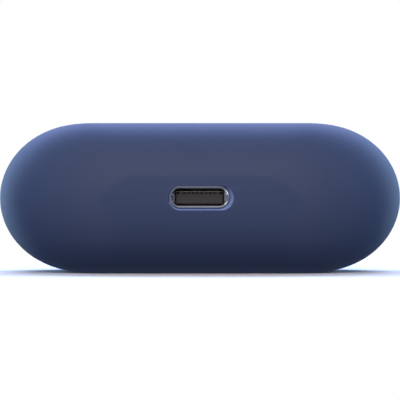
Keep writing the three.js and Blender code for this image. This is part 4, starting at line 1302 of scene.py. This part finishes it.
def slotted_screw(name, node, head_below, slot_turn):
    """A pan-headed screw with a slot and a fine thread, along Z."""
    low, high = box_mm(node)
    radius = (high.x - low.x) / 2
    shaft = radius * 0.5
    tall = high.z - low.z
    profile = [(0.0, 0.0)]
    for angle in evenly(5, 0.35, math.pi / 2):
        profile.append((radius * math.sin(angle) ** 0.5, SCREW.crown * (1 - math.sin(angle))))
    profile += [(radius, 0.2), (radius, SCREW.head), (shaft, SCREW.head + 0.02)]
    threads = int((tall - SCREW.head - 0.25) / SCREW.pitch)
    for i in range(threads):
        height = SCREW.head + 0.15 + i * SCREW.pitch
        profile += [(shaft * SCREW.root, height), (shaft, height + SCREW.pitch / 2)]
    profile += [(shaft * SCREW.root, tall - 0.08), (shaft * 0.5, tall), (0.0, tall)]
    base = low.z if head_below else high.z
    way = 1 if head_below else -1
    middle = (low + high) / 2
    profile = [(r, base + way * h) for r, h in profile]
    screw = solid(name, Shape().turned(profile, "Z", (middle.x, middle.y, 0), 32))
    reach, half = radius + 0.2, SCREW.slot_half
    slot = Shape().box((-reach, -half, -0.3), (reach, half, SCREW.slot_depth))
    turn = Matrix.Rotation(slot_turn, 3, "Z")
    slot.points = [turn @ p for p in slot.points]
    slot.points = [Vector((middle.x + p.x, middle.y + p.y, base + way * p.z)) for p in slot.points]
    cut(screw, [slot])
    return screw


def coil_points(radius, low, high, turns, steps=20):
    """Points of an even helix about Z."""
    count = round(turns * steps)
    points = []
    for i in range(count + 1):
        angle = 2 * math.pi * i / steps
        points.append((radius * math.cos(angle), radius * math.sin(angle), lerp(low, high, i / count)))
    return points


class CASE_OT_hinge(bpy.types.Operator):
    """Hinge: a plate with knuckles on each side, the pin, its spring and the screws"""

    bl_idname = "earbuds_case.hinge"
    bl_label = "Hinge"

    HEAD_GAP = 0.03
    ARM_OVERLAP = 0.5
    KNUCKLE_EDGE = 0.08
    KNUCKLE_GAP = 0.2
    BASE_BORE = 0.42
    LEAF_BORE = 0.45
    SCREW_HOLE = 0.6
    PIN_DOME = 0.15

    def plate(self, name, node, spans, bore, screw_node, body, size):
        """A stamped plate whose ends are curled round the pin."""
        low, high = box_mm(node)
        way = 1 if (low.y + high.y) / 2 > SEAM_Y else -1
        under = box_mm(f"{screw_node}_left")[0].z + SCREW.head + self.HEAD_GAP
        top = under + size.hinge_plate_thickness
        ys = sorted((SEAM_Y + way * size.hinge_plate_near, high.y if way > 0 else low.y))
        plate = solid(name, Shape().box((low.x, ys[0], under), (high.x, ys[1], top), 0.06))
        radius = size.knuckle_radius
        pieces = []
        for x0, x1 in spans:
            arm = sorted((SEAM_Y, SEAM_Y + way * (size.hinge_plate_near + self.ARM_OVERLAP)))
            pieces.append(Shape().box((x0, arm[0], under), (x1, arm[1], top), 0.05))
            eased = self.KNUCKLE_EDGE
            profile = [(0.0, x0), (radius - eased, x0), (radius, x0 + eased)]
            profile += [(radius, x1 - eased), (radius - eased, x1), (0.0, x1)]
            pieces.append(Shape().turned(profile, "X", (0, SEAM_Y, HINGE_Z), 40))
        join(plate, pieces)
        cutters = []
        for x0, x1 in spans:
            near, far = x0 - 0.1, x1 + 0.1
            profile = [(0.0, near), (bore, near), (bore, far), (0.0, far)]
            cutters.append(Shape().turned(profile, "X", (0, SEAM_Y, HINGE_Z), 32))
        for side in SIDES:
            place = middle_mm(f"{screw_node}_{side}")
            hole, near, far = self.SCREW_HOLE, under - PAST, top + PAST
            profile = [(0.0, near), (hole, near), (hole, far), (0.0, far)]
            cutters.append(Shape().turned(profile, "Z", (place.x, place.y, 0), 32))
        cut(plate, cutters)
        finish(plate, "steel", body, [node])

    def pin(self):
        """The pin, with domed ends."""
        low, high = box_mm("hinge_pin")
        radius = (high.z - low.z) / 2
        angles = evenly(5, 0.0, math.pi / 2)
        profile = [(radius * math.sin(a), low.x + self.PIN_DOME * (1 - math.cos(a))) for a in angles]
        mirror = [(r, low.x + high.x - x) for r, x in reversed(profile)]
        pin = solid("hinge_axle", Shape().turned(profile + mirror, "X", (0, SEAM_Y, HINGE_Z), 32))
        finish(pin, "steel", "case_body", ["hinge_pin"])

    def spring(self, size):
        """The torsion spring round the pin, with a leg on each side."""
        half, radius, leg = size.hinge_spring_half, size.hinge_spring_radius, size.hinge_spring_leg
        coil = coil_points(radius, -half, half, size.hinge_spring_turns)
        path = [Vector((c, b, -a)) for a, b, c in coil]
        head, tail = path[0], path[-1]
        path = [Vector((head.x, -leg, head.z)), Vector((head.x, -leg / 2, head.z)), *path]
        path += [Vector((tail.x, leg / 2, tail.z)), Vector((tail.x, leg, tail.z))]
        path = [p + Vector((0, SEAM_Y, HINGE_Z)) for p in path]
        spring = solid("hinge_torsion_spring", Shape().tube(path, size.hinge_spring_wire, 10))
        finish(spring, "steel", "case_body", ["hinge_spring"], sharp=WIRE_SHARP_ANGLE)

    def execute(self, context):
        size = sizes()
        outer, inner = size.hinge_outer_knuckle, size.hinge_inner_knuckle
        end = size.hinge_half_width
        base = [(-end, -end + outer), (end - outer, end)]
        leaf_end = end - outer - self.KNUCKLE_GAP
        leaf = [(-leaf_end, -leaf_end + inner), (leaf_end - inner, leaf_end)]
        bore, body = self.BASE_BORE, "case_body"
        self.plate("hinge_body_plate", "hinge_base", base, bore, "hinge_base_screw", body, size)
        self.plate("hinge_lid_plate", "hinge_leaf", leaf, self.LEAF_BORE, "hinge_leaf_screw", "lid", size)
        self.pin()
        self.spring(size)
        for turn, (kind, body) in enumerate((("hinge_base_screw", "case_body"), ("hinge_leaf_screw", "lid"))):
            for side, sign in SIDES.items():
                node = f"{kind}_{side}"
                screw = slotted_screw(f"{node}_fine", node, True, 0.5 + turn + 0.7 * sign)
                finish(screw, "steel", body, [node])
        return {"FINISHED"}


class CASE_OT_setup_button(bpy.types.Operator):
    """Setup button, with its spring, switch and little board"""

    bl_idname = "earbuds_case.setup_button"
    bl_label = "Setup button"

    STEM_RADIUS = 1.0
    STEM_EDGE = 0.1
    FLANGE_THICKNESS = 0.5
    FLANGE_EDGE = 0.05
    CAP_EDGE = 0.25
    DISH = 0.12

    def cap(self, size):
        """The cap, lightly dished, with its flange and stem."""
        top, foot = BUTTON_HIGH.z, BUTTON_LOW.z
        flange = (BUTTON_HIGH.x - BUTTON_LOW.x) / 2
        flange_top = THICKNESS - size.wall - size.button_flange_gap
        radius = size.button_radius
        edge, eased, stem = self.CAP_EDGE, self.FLANGE_EDGE, self.STEM_RADIUS
        under = flange_top - self.FLANGE_THICKNESS
        profile = [(0.0, foot), (stem - self.STEM_EDGE, foot), (stem, foot + self.STEM_EDGE), (stem, under)]
        profile += [(flange - eased, under), (flange, under + eased), (flange, flange_top - eased)]
        profile += [(flange - eased, flange_top), (radius, flange_top)]
        for angle in evenly(6, 0.0, math.pi / 2):
            profile.append((radius - edge * (1 - math.cos(angle)), top - edge * (1 - math.sin(angle))))
        for out in evenly(8, radius - edge, 0.0)[1:]:
            profile.append((out, top - self.DISH * (1 - (out / (radius - edge)) ** 2)))
        cap = solid("button_cap", Shape().turned(profile, "Z", (BUTTON_MIDDLE.x, BUTTON_MIDDLE.y, 0), 72))
        finish(cap, "case_plastic", "setup_button", ["setup_button"])

    def spring(self, size):
        """The return spring round the stem."""
        low, high = box_mm("button_spring")
        wire = size.button_spring_wire
        radius = (high.x - low.x) / 2 - wire
        coil = coil_points(radius, low.z + wire, high.z - wire, 4, 28)
        path = [Vector((BUTTON_MIDDLE.x + a, BUTTON_MIDDLE.y + b, c)) for a, b, c in coil]
        spring = solid("button_return_spring", Shape().tube(path, wire, 8))
        finish(spring, "steel", "case_body", ["button_spring"], sharp=WIRE_SHARP_ANGLE)
        shortens(spring, "button_spring", "setup_button_press", (0, 0, 1))

    def execute(self, context):
        size = sizes()
        self.cap(size)
        self.spring(size)
        dress("button_board", "board_laminate", 0.04)
        dress("button_switch", "steel", 0.06)
        return {"FINISHED"}


class CASE_OT_status_light(bpy.types.Operator):
    """Status light: the pipe in the front, its lamp, its board and the lid's sensor"""

    bl_idname = "earbuds_case.status_light"
    bl_label = "Status light"

    PIPE_EDGE = 0.1
    FLANGE_THICKNESS = 0.3
    FLANGE_EDGE = 0.04

    def execute(self, context):
        size = sizes()
        low, high = LIGHT_LOW, LIGHT_HIGH
        flange = (high.x - low.x) / 2
        radius, edge, eased = size.light_pipe_radius, self.PIPE_EDGE, self.FLANGE_EDGE
        under = high.z - self.FLANGE_THICKNESS
        profile = [(0.0, low.z)]
        for angle in evenly(4, math.pi / 2, 0.0):
            profile.append((radius - edge * (1 - math.cos(angle)), low.z + edge * (1 - math.sin(angle))))
        profile += [(radius, under), (flange, under), (flange, high.z - eased)]
        profile += [(flange - eased, high.z), (0.0, high.z)]
        pipe = solid("light_guide", Shape().turned(profile, "Z", (LIGHT_MIDDLE.x, LIGHT_MIDDLE.y, 0), 40))
        finish(pipe, "clear_plastic", "case_body", ["light_pipe"])
        dress("light_board", "board_laminate", 0.04)
        dress("status_light", "clear_plastic", 0.06)
        dress("lid_sensor", "dark_plastic", 0.05)
        return {"FINISHED"}


class CASE_OT_sprung_contacts(bpy.types.Operator):
    """Sprung contacts in the wells: plungers, springs, blocks and their flat lead"""

    bl_idname = "earbuds_case.sprung_contacts"
    bl_label = "Sprung contacts"

    FLANGE_EDGE = 0.06
    TIP_DOME = 0.28

    def plunger(self, name, size):
        """A turned pin with a domed tip and a flange."""
        node = f"contact_plunger_{name}"
        low, high = box_mm(node)
        middle = (low + high) / 2
        flange = (high.x - low.x) / 2
        tip = size.plunger_tip_radius
        shoulder = low.y + size.plunger_flange_height
        eased = self.FLANGE_EDGE
        profile = [(0.0, low.y), (flange - eased, low.y), (flange, low.y + eased), (flange, shoulder - eased)]
        profile += [(flange - eased, shoulder), (tip, shoulder)]
        for angle in evenly(7, 0.0, math.pi / 2):
            profile.append((tip * math.cos(angle), high.y - self.TIP_DOME * (1 - math.sin(angle))))
        made = solid(f"plunger_{name}_fine", Shape().turned(profile, "Y", (middle.x, 0, middle.z), 32))
        finish(made, "gold_plate", f"plunger_{name}", [node])

    def spring(self, name, size):
        """The spring under a pin."""
        node = f"contact_spring_{name}"
        low, high = box_mm(node)
        middle = (low + high) / 2
        wire = size.contact_spring_wire
        coil = coil_points((high.x - low.x) / 2 - wire, low.y + wire, high.y - wire, 4, 16)
        path = [Vector((middle.x + a, c, middle.z + b)) for a, b, c in coil]
        made = solid(f"plunger_spring_{name}", Shape().tube(path, wire, 8))
        finish(made, "steel", "case_body", [node], sharp=WIRE_SHARP_ANGLE)
        shortens(made, node, f"plunger_press_{name}", (0, 1, 0))

    def execute(self, context):
        size = sizes()
        for name in PLUNGERS:
            self.plunger(name, size)
            self.spring(name, size)
        for side in SIDES:
            dress(f"contact_block_{side}", "dark_plastic", 0.08)
        dress("contact_flex", "flex_film", 0.03)
        return {"FINISHED"}


class CASE_OT_charging_coil(bpy.types.Operator):
    """Wireless charging coil, wound flat on its ferrite ring"""

    bl_idname = "earbuds_case.charging_coil"
    bl_label = "Charging coil"

    STEPS = 64
    SPREAD = 1.02
    FERRITE_EDGE = 0.06

    def execute(self, context):
        low, high = box_mm("charging_coil")
        middle = (low + high) / 2
        wire = (high.z - low.z) / 2
        outer = (high.x - low.x) / 2 - wire
        rounds = sizes().coil_turns - 1
        inner = outer - 2 * wire * rounds * self.SPREAD
        path = []
        for share in evenly(rounds * self.STEPS):
            angle = 2 * math.pi * rounds * share
            radius = lerp(inner, outer, share)
            path.append(middle + Vector((radius * math.cos(angle), radius * math.sin(angle), 0)))
        winding = solid("coil_winding", Shape().tube(path, wire, 10))
        finish(winding, "copper_wire", "case_body", ["charging_coil"], sharp=WIRE_SHARP_ANGLE)
        low, high = box_mm("coil_ferrite")
        outer, hole, edge = (high.x - low.x) / 2, sizes().ferrite_inner, self.FERRITE_EDGE
        profile = [(hole, low.z), (outer - edge, low.z), (outer, low.z + edge), (outer, high.z - edge)]
        profile += [(outer - edge, high.z), (hole + edge, high.z), (hole, high.z - edge)]
        plate = solid("ferrite_plate", Shape().turned(profile, "Z", (middle.x, middle.y, 0), 72, closed=True))
        finish(plate, "dark_plastic", "case_body", ["coil_ferrite"])
        return {"FINISHED"}


class CASE_OT_main_board(bpy.types.Operator):
    """Main board with its chips, its inductor, its small parts and its screws"""

    bl_idname = "earbuds_case.main_board"
    bl_label = "Main board"

    PACKAGE_EDGE = 0.06
    DIMPLE_INSET = 0.5
    FOOT = SimpleNamespace(pitch=0.4, margin=0.3, half=0.09, height=0.12, inside=0.05, outside=0.18)
    # Where each row of four small parts begins, and the size and spacing of the parts in it.
    ROWS = [(-1.6, -14.2), (1.4, -14.2), (7.7, -14.0), (13.4, -14.0)]
    PART = SimpleNamespace(pitch=0.75, half_x=0.3, half_y=0.2, foot=0.02, height=0.4)
    END = SimpleNamespace(near=0.26, far=0.5, wrap=0.02, foot=0.01, height=0.43)

    def chip(self, node):
        """A moulded chip with a dimple at its first corner and a row of feet on two sides."""
        low, high = box_mm(node)
        body = solid(f"{node}_package", Shape().box(low, high, self.PACKAGE_EDGE))
        corner = Vector((low.x + self.DIMPLE_INSET, high.y - self.DIMPLE_INSET, 0))
        profile = [(0.0, high.z - 0.06), (0.15, high.z - 0.05), (0.2, high.z + 0.2), (0.0, high.z + 0.2)]
        cut(body, [Shape().turned(profile, "Z", (corner.x, corner.y, 0), 20)])
        finish(body, "dark_plastic", "case_body", [node])
        feet, foot = Shape(), self.FOOT
        count = int((high.y - low.y - 2 * foot.margin) / foot.pitch)
        for y in evenly(count, low.y + foot.margin, high.y - foot.margin):
            for x, way in ((low.x, -1), (high.x, 1)):
                near, far = sorted((x - way * foot.inside, x + way * foot.outside))
                ends = (near, y - foot.half, low.z), (far, y + foot.half, low.z + foot.height)
                feet.box(*ends, 0.02, 1)
        finish(solid(f"{node}_feet", feet), "steel", "case_body")

    def small_parts(self):
        """Capacitors and resistors in rows between the chips: bodies and their soldered ends."""
        top = box_mm("main_board")[1].z
        bodies, ends = Shape(), Shape()
        part, end = self.PART, self.END
        for x, y in self.ROWS:
            for i in range(4):
                place = Vector((x, y + part.pitch * i, top))
                low = place + Vector((-part.half_x, -part.half_y, part.foot))
                high = place + Vector((part.half_x, part.half_y, part.height))
                bodies.box(low, high, 0.03, 1)
                for way in (-1, 1):
                    near, far = sorted((x + way * end.near, x + way * end.far))
                    front, back = low.y - end.wrap, high.y + end.wrap
                    ends.box((near, front, top + end.foot), (far, back, top + end.height), 0.04, 1)
        finish(solid("board_small_parts", bodies), "dark_plastic", "case_body")
        finish(solid("board_solder_ends", ends), "magnet_nickel", "case_body")

    def execute(self, context):
        dress("main_board", "board_laminate", 0.04)
        for node in ("charge_controller", "main_processor", "wireless_power_chip"):
            self.chip(node)
        dress("power_inductor", "magnet_nickel", 0.15)
        self.small_parts()
        for side, sign in SIDES.items():
            node = f"board_screw_{side}"
            screw = slotted_screw(f"{node}_fine", node, False, 0.4 * sign)
            finish(screw, "steel", "case_body", [node])
        return {"FINISHED"}


class CASE_OT_battery(bpy.types.Operator):
    """Battery pouch with its thin end seals, its lead and its foam pad"""

    bl_idname = "earbuds_case.battery"
    bl_label = "Battery"

    # The pouch's end seals: half thickness, how far they draw in, and how suddenly the cell rounds off.
    SEAL_HALF = 0.12
    DRAWN_IN = 0.1
    END_POWER = 10
    CELL_POWER = 14
    LARGEST_CORNER = 0.9
    CORNER_SHARE = 0.95

    def execute(self, context):
        low, high = box_mm("battery_cell")
        middle = (low + high) / 2
        half = (high - low) / 2
        rings = []
        for share in evenly(24, -1.0, 1.0):
            out = min(abs(share), 1.0)
            tall = half.y * (1 - self.DRAWN_IN + self.DRAWN_IN * (1 - out**self.END_POWER) ** 0.5)
            thick = max(self.SEAL_HALF, half.z * (1 - out**self.CELL_POWER) ** 0.5)
            corner = min(thick, self.LARGEST_CORNER) * self.CORNER_SHARE
            outline = slot_ring(2 * tall, 2 * thick, corner, (0, 0, 0))
            x = middle.x + half.x * share
            rings.append([Vector((x, middle.y + p.x, middle.z + p.z)) for p in outline])
        pouch = solid("battery_pouch", Shape().loft(rings))
        finish(pouch, "pouch_foil", "case_body", ["battery_cell"])
        dress("battery_lead", "flex_film", 0.03)
        dress("battery_foam", "silicone", 0.12)
        return {"FINISHED"}


class CASE_OT_magnets(bpy.types.Operator):
    """Magnets that hold the earbuds and the lid"""

    bl_idname = "earbuds_case.magnets"
    bl_label = "Magnets"

    def execute(self, context):
        for side in SIDES:
            for node in (f"bud_magnet_{side}", f"latch_magnet_{side}", f"lid_magnet_{side}"):
                dress(node, "magnet_nickel", 0.15)
        return {"FINISHED"}


# The stage.


def aim(obj, azimuth, elevation, distance, target):
    """Puts a lamp round the target, facing it. Azimuth 0 is in front, where the port is; 90 is right."""
    a, e = math.radians(azimuth), math.radians(elevation)
    away = Vector((math.sin(a) * math.cos(e), -math.cos(a) * math.cos(e), math.sin(e)))
    obj.location = target + away * distance
    obj.rotation_euler = away.to_track_quat("Z", "Y").to_euler()


class CASE_OT_stage(bpy.types.Operator):
    """Pale floor, soft lamps and the camera that looks straight at the port"""

    bl_idname = "earbuds_case.stage"
    bl_label = "Stage"

    WHITE, WARM, COOL, SKY = (1.0, 1.0, 1.0), (1.0, 0.87, 0.83), (0.5, 0.61, 1.0), (0.45, 0.69, 1.0)
    # Name, azimuth, elevation, width and height in metres, power in watts and colour.
    LAMPS = [
        ("front_softbox", 0, 30, 0.9, 0.6, 7.7, WARM),
        ("low_back_softbox", 180, 35, 0.9, 0.4, 5.8, COOL),
        ("high_back_softbox", 180, 50, 0.9, 0.4, 15.2, COOL),
        ("left_strip", -110, 4, 0.25, 0.7, 6.2, SKY),
        ("right_strip", 110, 4, 0.25, 0.7, 5.8, SKY),
        ("left_rim_strip", -142, 4, 0.22, 0.7, 5.1, SKY),
        ("right_rim_strip", 142, 4, 0.22, 0.7, 4.5, SKY),
        ("high_card", -6, 46, 0.5, 0.2, 0.25, WHITE),
        ("left_high_card", -52, 34, 0.36, 0.36, 0.8, WHITE),
        ("left_low_card", -52, -24, 0.36, 0.36, 0.9, WHITE),
    ]
    LAMP_DISTANCE = 0.9
    # Lamps that show in no reflection, and cards that show in nothing else.
    DULL = {"front_softbox", "high_back_softbox", "left_strip", "right_strip"}
    CARDS = {"high_card", "left_high_card", "left_low_card"}
    FLOOR_RADII = (0.0, 60.0, 120.0, 200.0, 400.0, 900.0)
    FLOOR_Z = -0.02
    FLOOR_FADE = (0.07, 0.13)
    FLOOR_GREY = (0.75, 0.75, 0.75, 1.0)
    SURROUNDINGS = (0.6, 0.7, 1.0, 1.0)
    SURROUNDINGS_STRENGTH = 0.243
    PURE_WHITE = (1.0, 1.0, 1.0, 1.0)
    LENS = 293.0
    CAMERA_DISTANCE = 0.5
    CAMERA_DROP = 0.32

    def lamps(self, target):
        """The lamps and cards, all facing the case."""
        for name, azimuth, elevation, width, height, power, colour in self.LAMPS:
            data = bpy.data.lights.new(name, "AREA")
            data.shape = "RECTANGLE"
            data.size, data.size_y = width, height
            data.energy = power
            data.color = colour
            obj = bpy.data.objects.new(name, data)
            bpy.context.scene.collection.objects.link(obj)
            aim(obj, azimuth, elevation, self.LAMP_DISTANCE, target)
            obj.visible_camera = False
            obj.visible_glossy = name not in self.DULL
            obj.visible_diffuse = name not in self.CARDS

    def floor(self):
        """A round floor whose shading fades into the white surroundings."""
        angles = evenly(64, 0.0, 2 * math.pi)[:-1]
        rings = []
        for radius in self.FLOOR_RADII:
            rings.append([Vector((radius * math.cos(a), radius * math.sin(a), self.FLOOR_Z)) for a in angles])
        floor = solid("floor", Shape().loft(rings, caps=False))
        floor.data.transform(Matrix.Scale(MM, 4))
        material = bpy.data.materials.new("pale_floor")
        material.use_nodes = True
        shader = Shader(material.node_tree)
        coordinates = shader.node("ShaderNodeTexCoord").outputs["Object"]
        reach = shader.node("ShaderNodeVectorMath", {"operation": "LENGTH"}, {0: coordinates})
        far = shader.smooth(Number(shader, reach.outputs["Value"]), *self.FLOOR_FADE)
        paint = shader.node("ShaderNodeBsdfDiffuse", None, {"Color": self.FLOOR_GREY})
        white = shader.node("ShaderNodeEmission", None, {"Color": self.PURE_WHITE, "Strength": 1.0})
        both = shader.node("ShaderNodeMixShader", None, {0: far, 1: paint.outputs[0], 2: white.outputs[0]})
        shader.node("ShaderNodeOutputMaterial", None, {"Surface": both.outputs[0]})
        floor.data.materials.append(material)
        floor.visible_diffuse = False
        floor.visible_glossy = False

    def world(self):
        """White to the camera, and dim and even to the object."""
        world = bpy.data.worlds.new("studio")
        world.use_nodes = True
        shader = Shader(world.node_tree)
        seen = shader.node("ShaderNodeLightPath").outputs["Is Camera Ray"]
        light = {"Color": self.SURROUNDINGS, "Strength": self.SURROUNDINGS_STRENGTH}
        dim = shader.node("ShaderNodeBackground", None, light)
        white = shader.node("ShaderNodeBackground", None, {"Color": self.PURE_WHITE, "Strength": 1.0})
        both = shader.node("ShaderNodeMixShader", None, {0: seen, 1: dim.outputs[0], 2: white.outputs[0]})
        shader.node("ShaderNodeOutputWorld", None, {"Surface": both.outputs[0]})
        bpy.context.scene.world = world

    def camera(self):
        """The camera, level with the case and straight in front of the port."""
        data = bpy.data.cameras.new("camera")
        data.lens = self.LENS
        data.sensor_width = 36.0
        data.clip_end = 10.0
        camera = bpy.data.objects.new("camera", data)
        bpy.context.scene.collection.objects.link(camera)
        camera.location = (0.0, -self.CAMERA_DISTANCE, (MIDDLE_Z - self.CAMERA_DROP) * MM)
        camera.rotation_euler = (math.pi / 2, 0.0, 0.0)
        bpy.context.scene.camera = camera

    def execute(self, context):
        context.scene.view_settings.view_transform = "Standard"
        self.lamps(Vector((0, 0, MIDDLE_Z * MM)))
        self.floor()
        self.world()
        self.camera()
        return {"FINISHED"}


OPERATORS = [
    CASE_OT_body_casing,
    CASE_OT_lid_casing,
    CASE_OT_earbud_cradle,
    CASE_OT_lid_liner,
    CASE_OT_charging_port,
    CASE_OT_hinge,
    CASE_OT_setup_button,
    CASE_OT_status_light,
    CASE_OT_sprung_contacts,
    CASE_OT_charging_coil,
    CASE_OT_main_board,
    CASE_OT_battery,
    CASE_OT_magnets,
    CASE_OT_stage,
]


class CASE_PT_pieces(bpy.types.Panel):
    """Lists the case's pieces"""

    bl_label = "Earbuds Case"
    bl_idname = "CASE_PT_pieces"
    bl_space_type = "VIEW_3D"
    bl_region_type = "UI"
    bl_category = "Earbuds Case"

    def draw(self, context):
        for operator in OPERATORS:
            self.layout.operator(operator.bl_idname)


CLASSES = [CaseSizes, CaseColours, *OPERATORS, CASE_PT_pieces]


def register():
    """Registers the sizes, the colours, the operators and the panel."""
    for each in CLASSES:
        bpy.utils.register_class(each)
    bpy.types.Scene.case_sizes = bpy.props.PointerProperty(type=CaseSizes)
    bpy.types.Scene.case_colours = bpy.props.PointerProperty(type=CaseColours)


def unregister():
    """Takes back what register did."""
    del bpy.types.Scene.case_colours
    del bpy.types.Scene.case_sizes
    for each in reversed(CLASSES):
        bpy.utils.unregister_class(each)


def main():
    """Builds the pieces and the stage."""
    register()
    for operator in OPERATORS:
        group, name = operator.bl_idname.split(".")
        getattr(getattr(bpy.ops, group), name)()


if __name__ == "__main__":
    main()
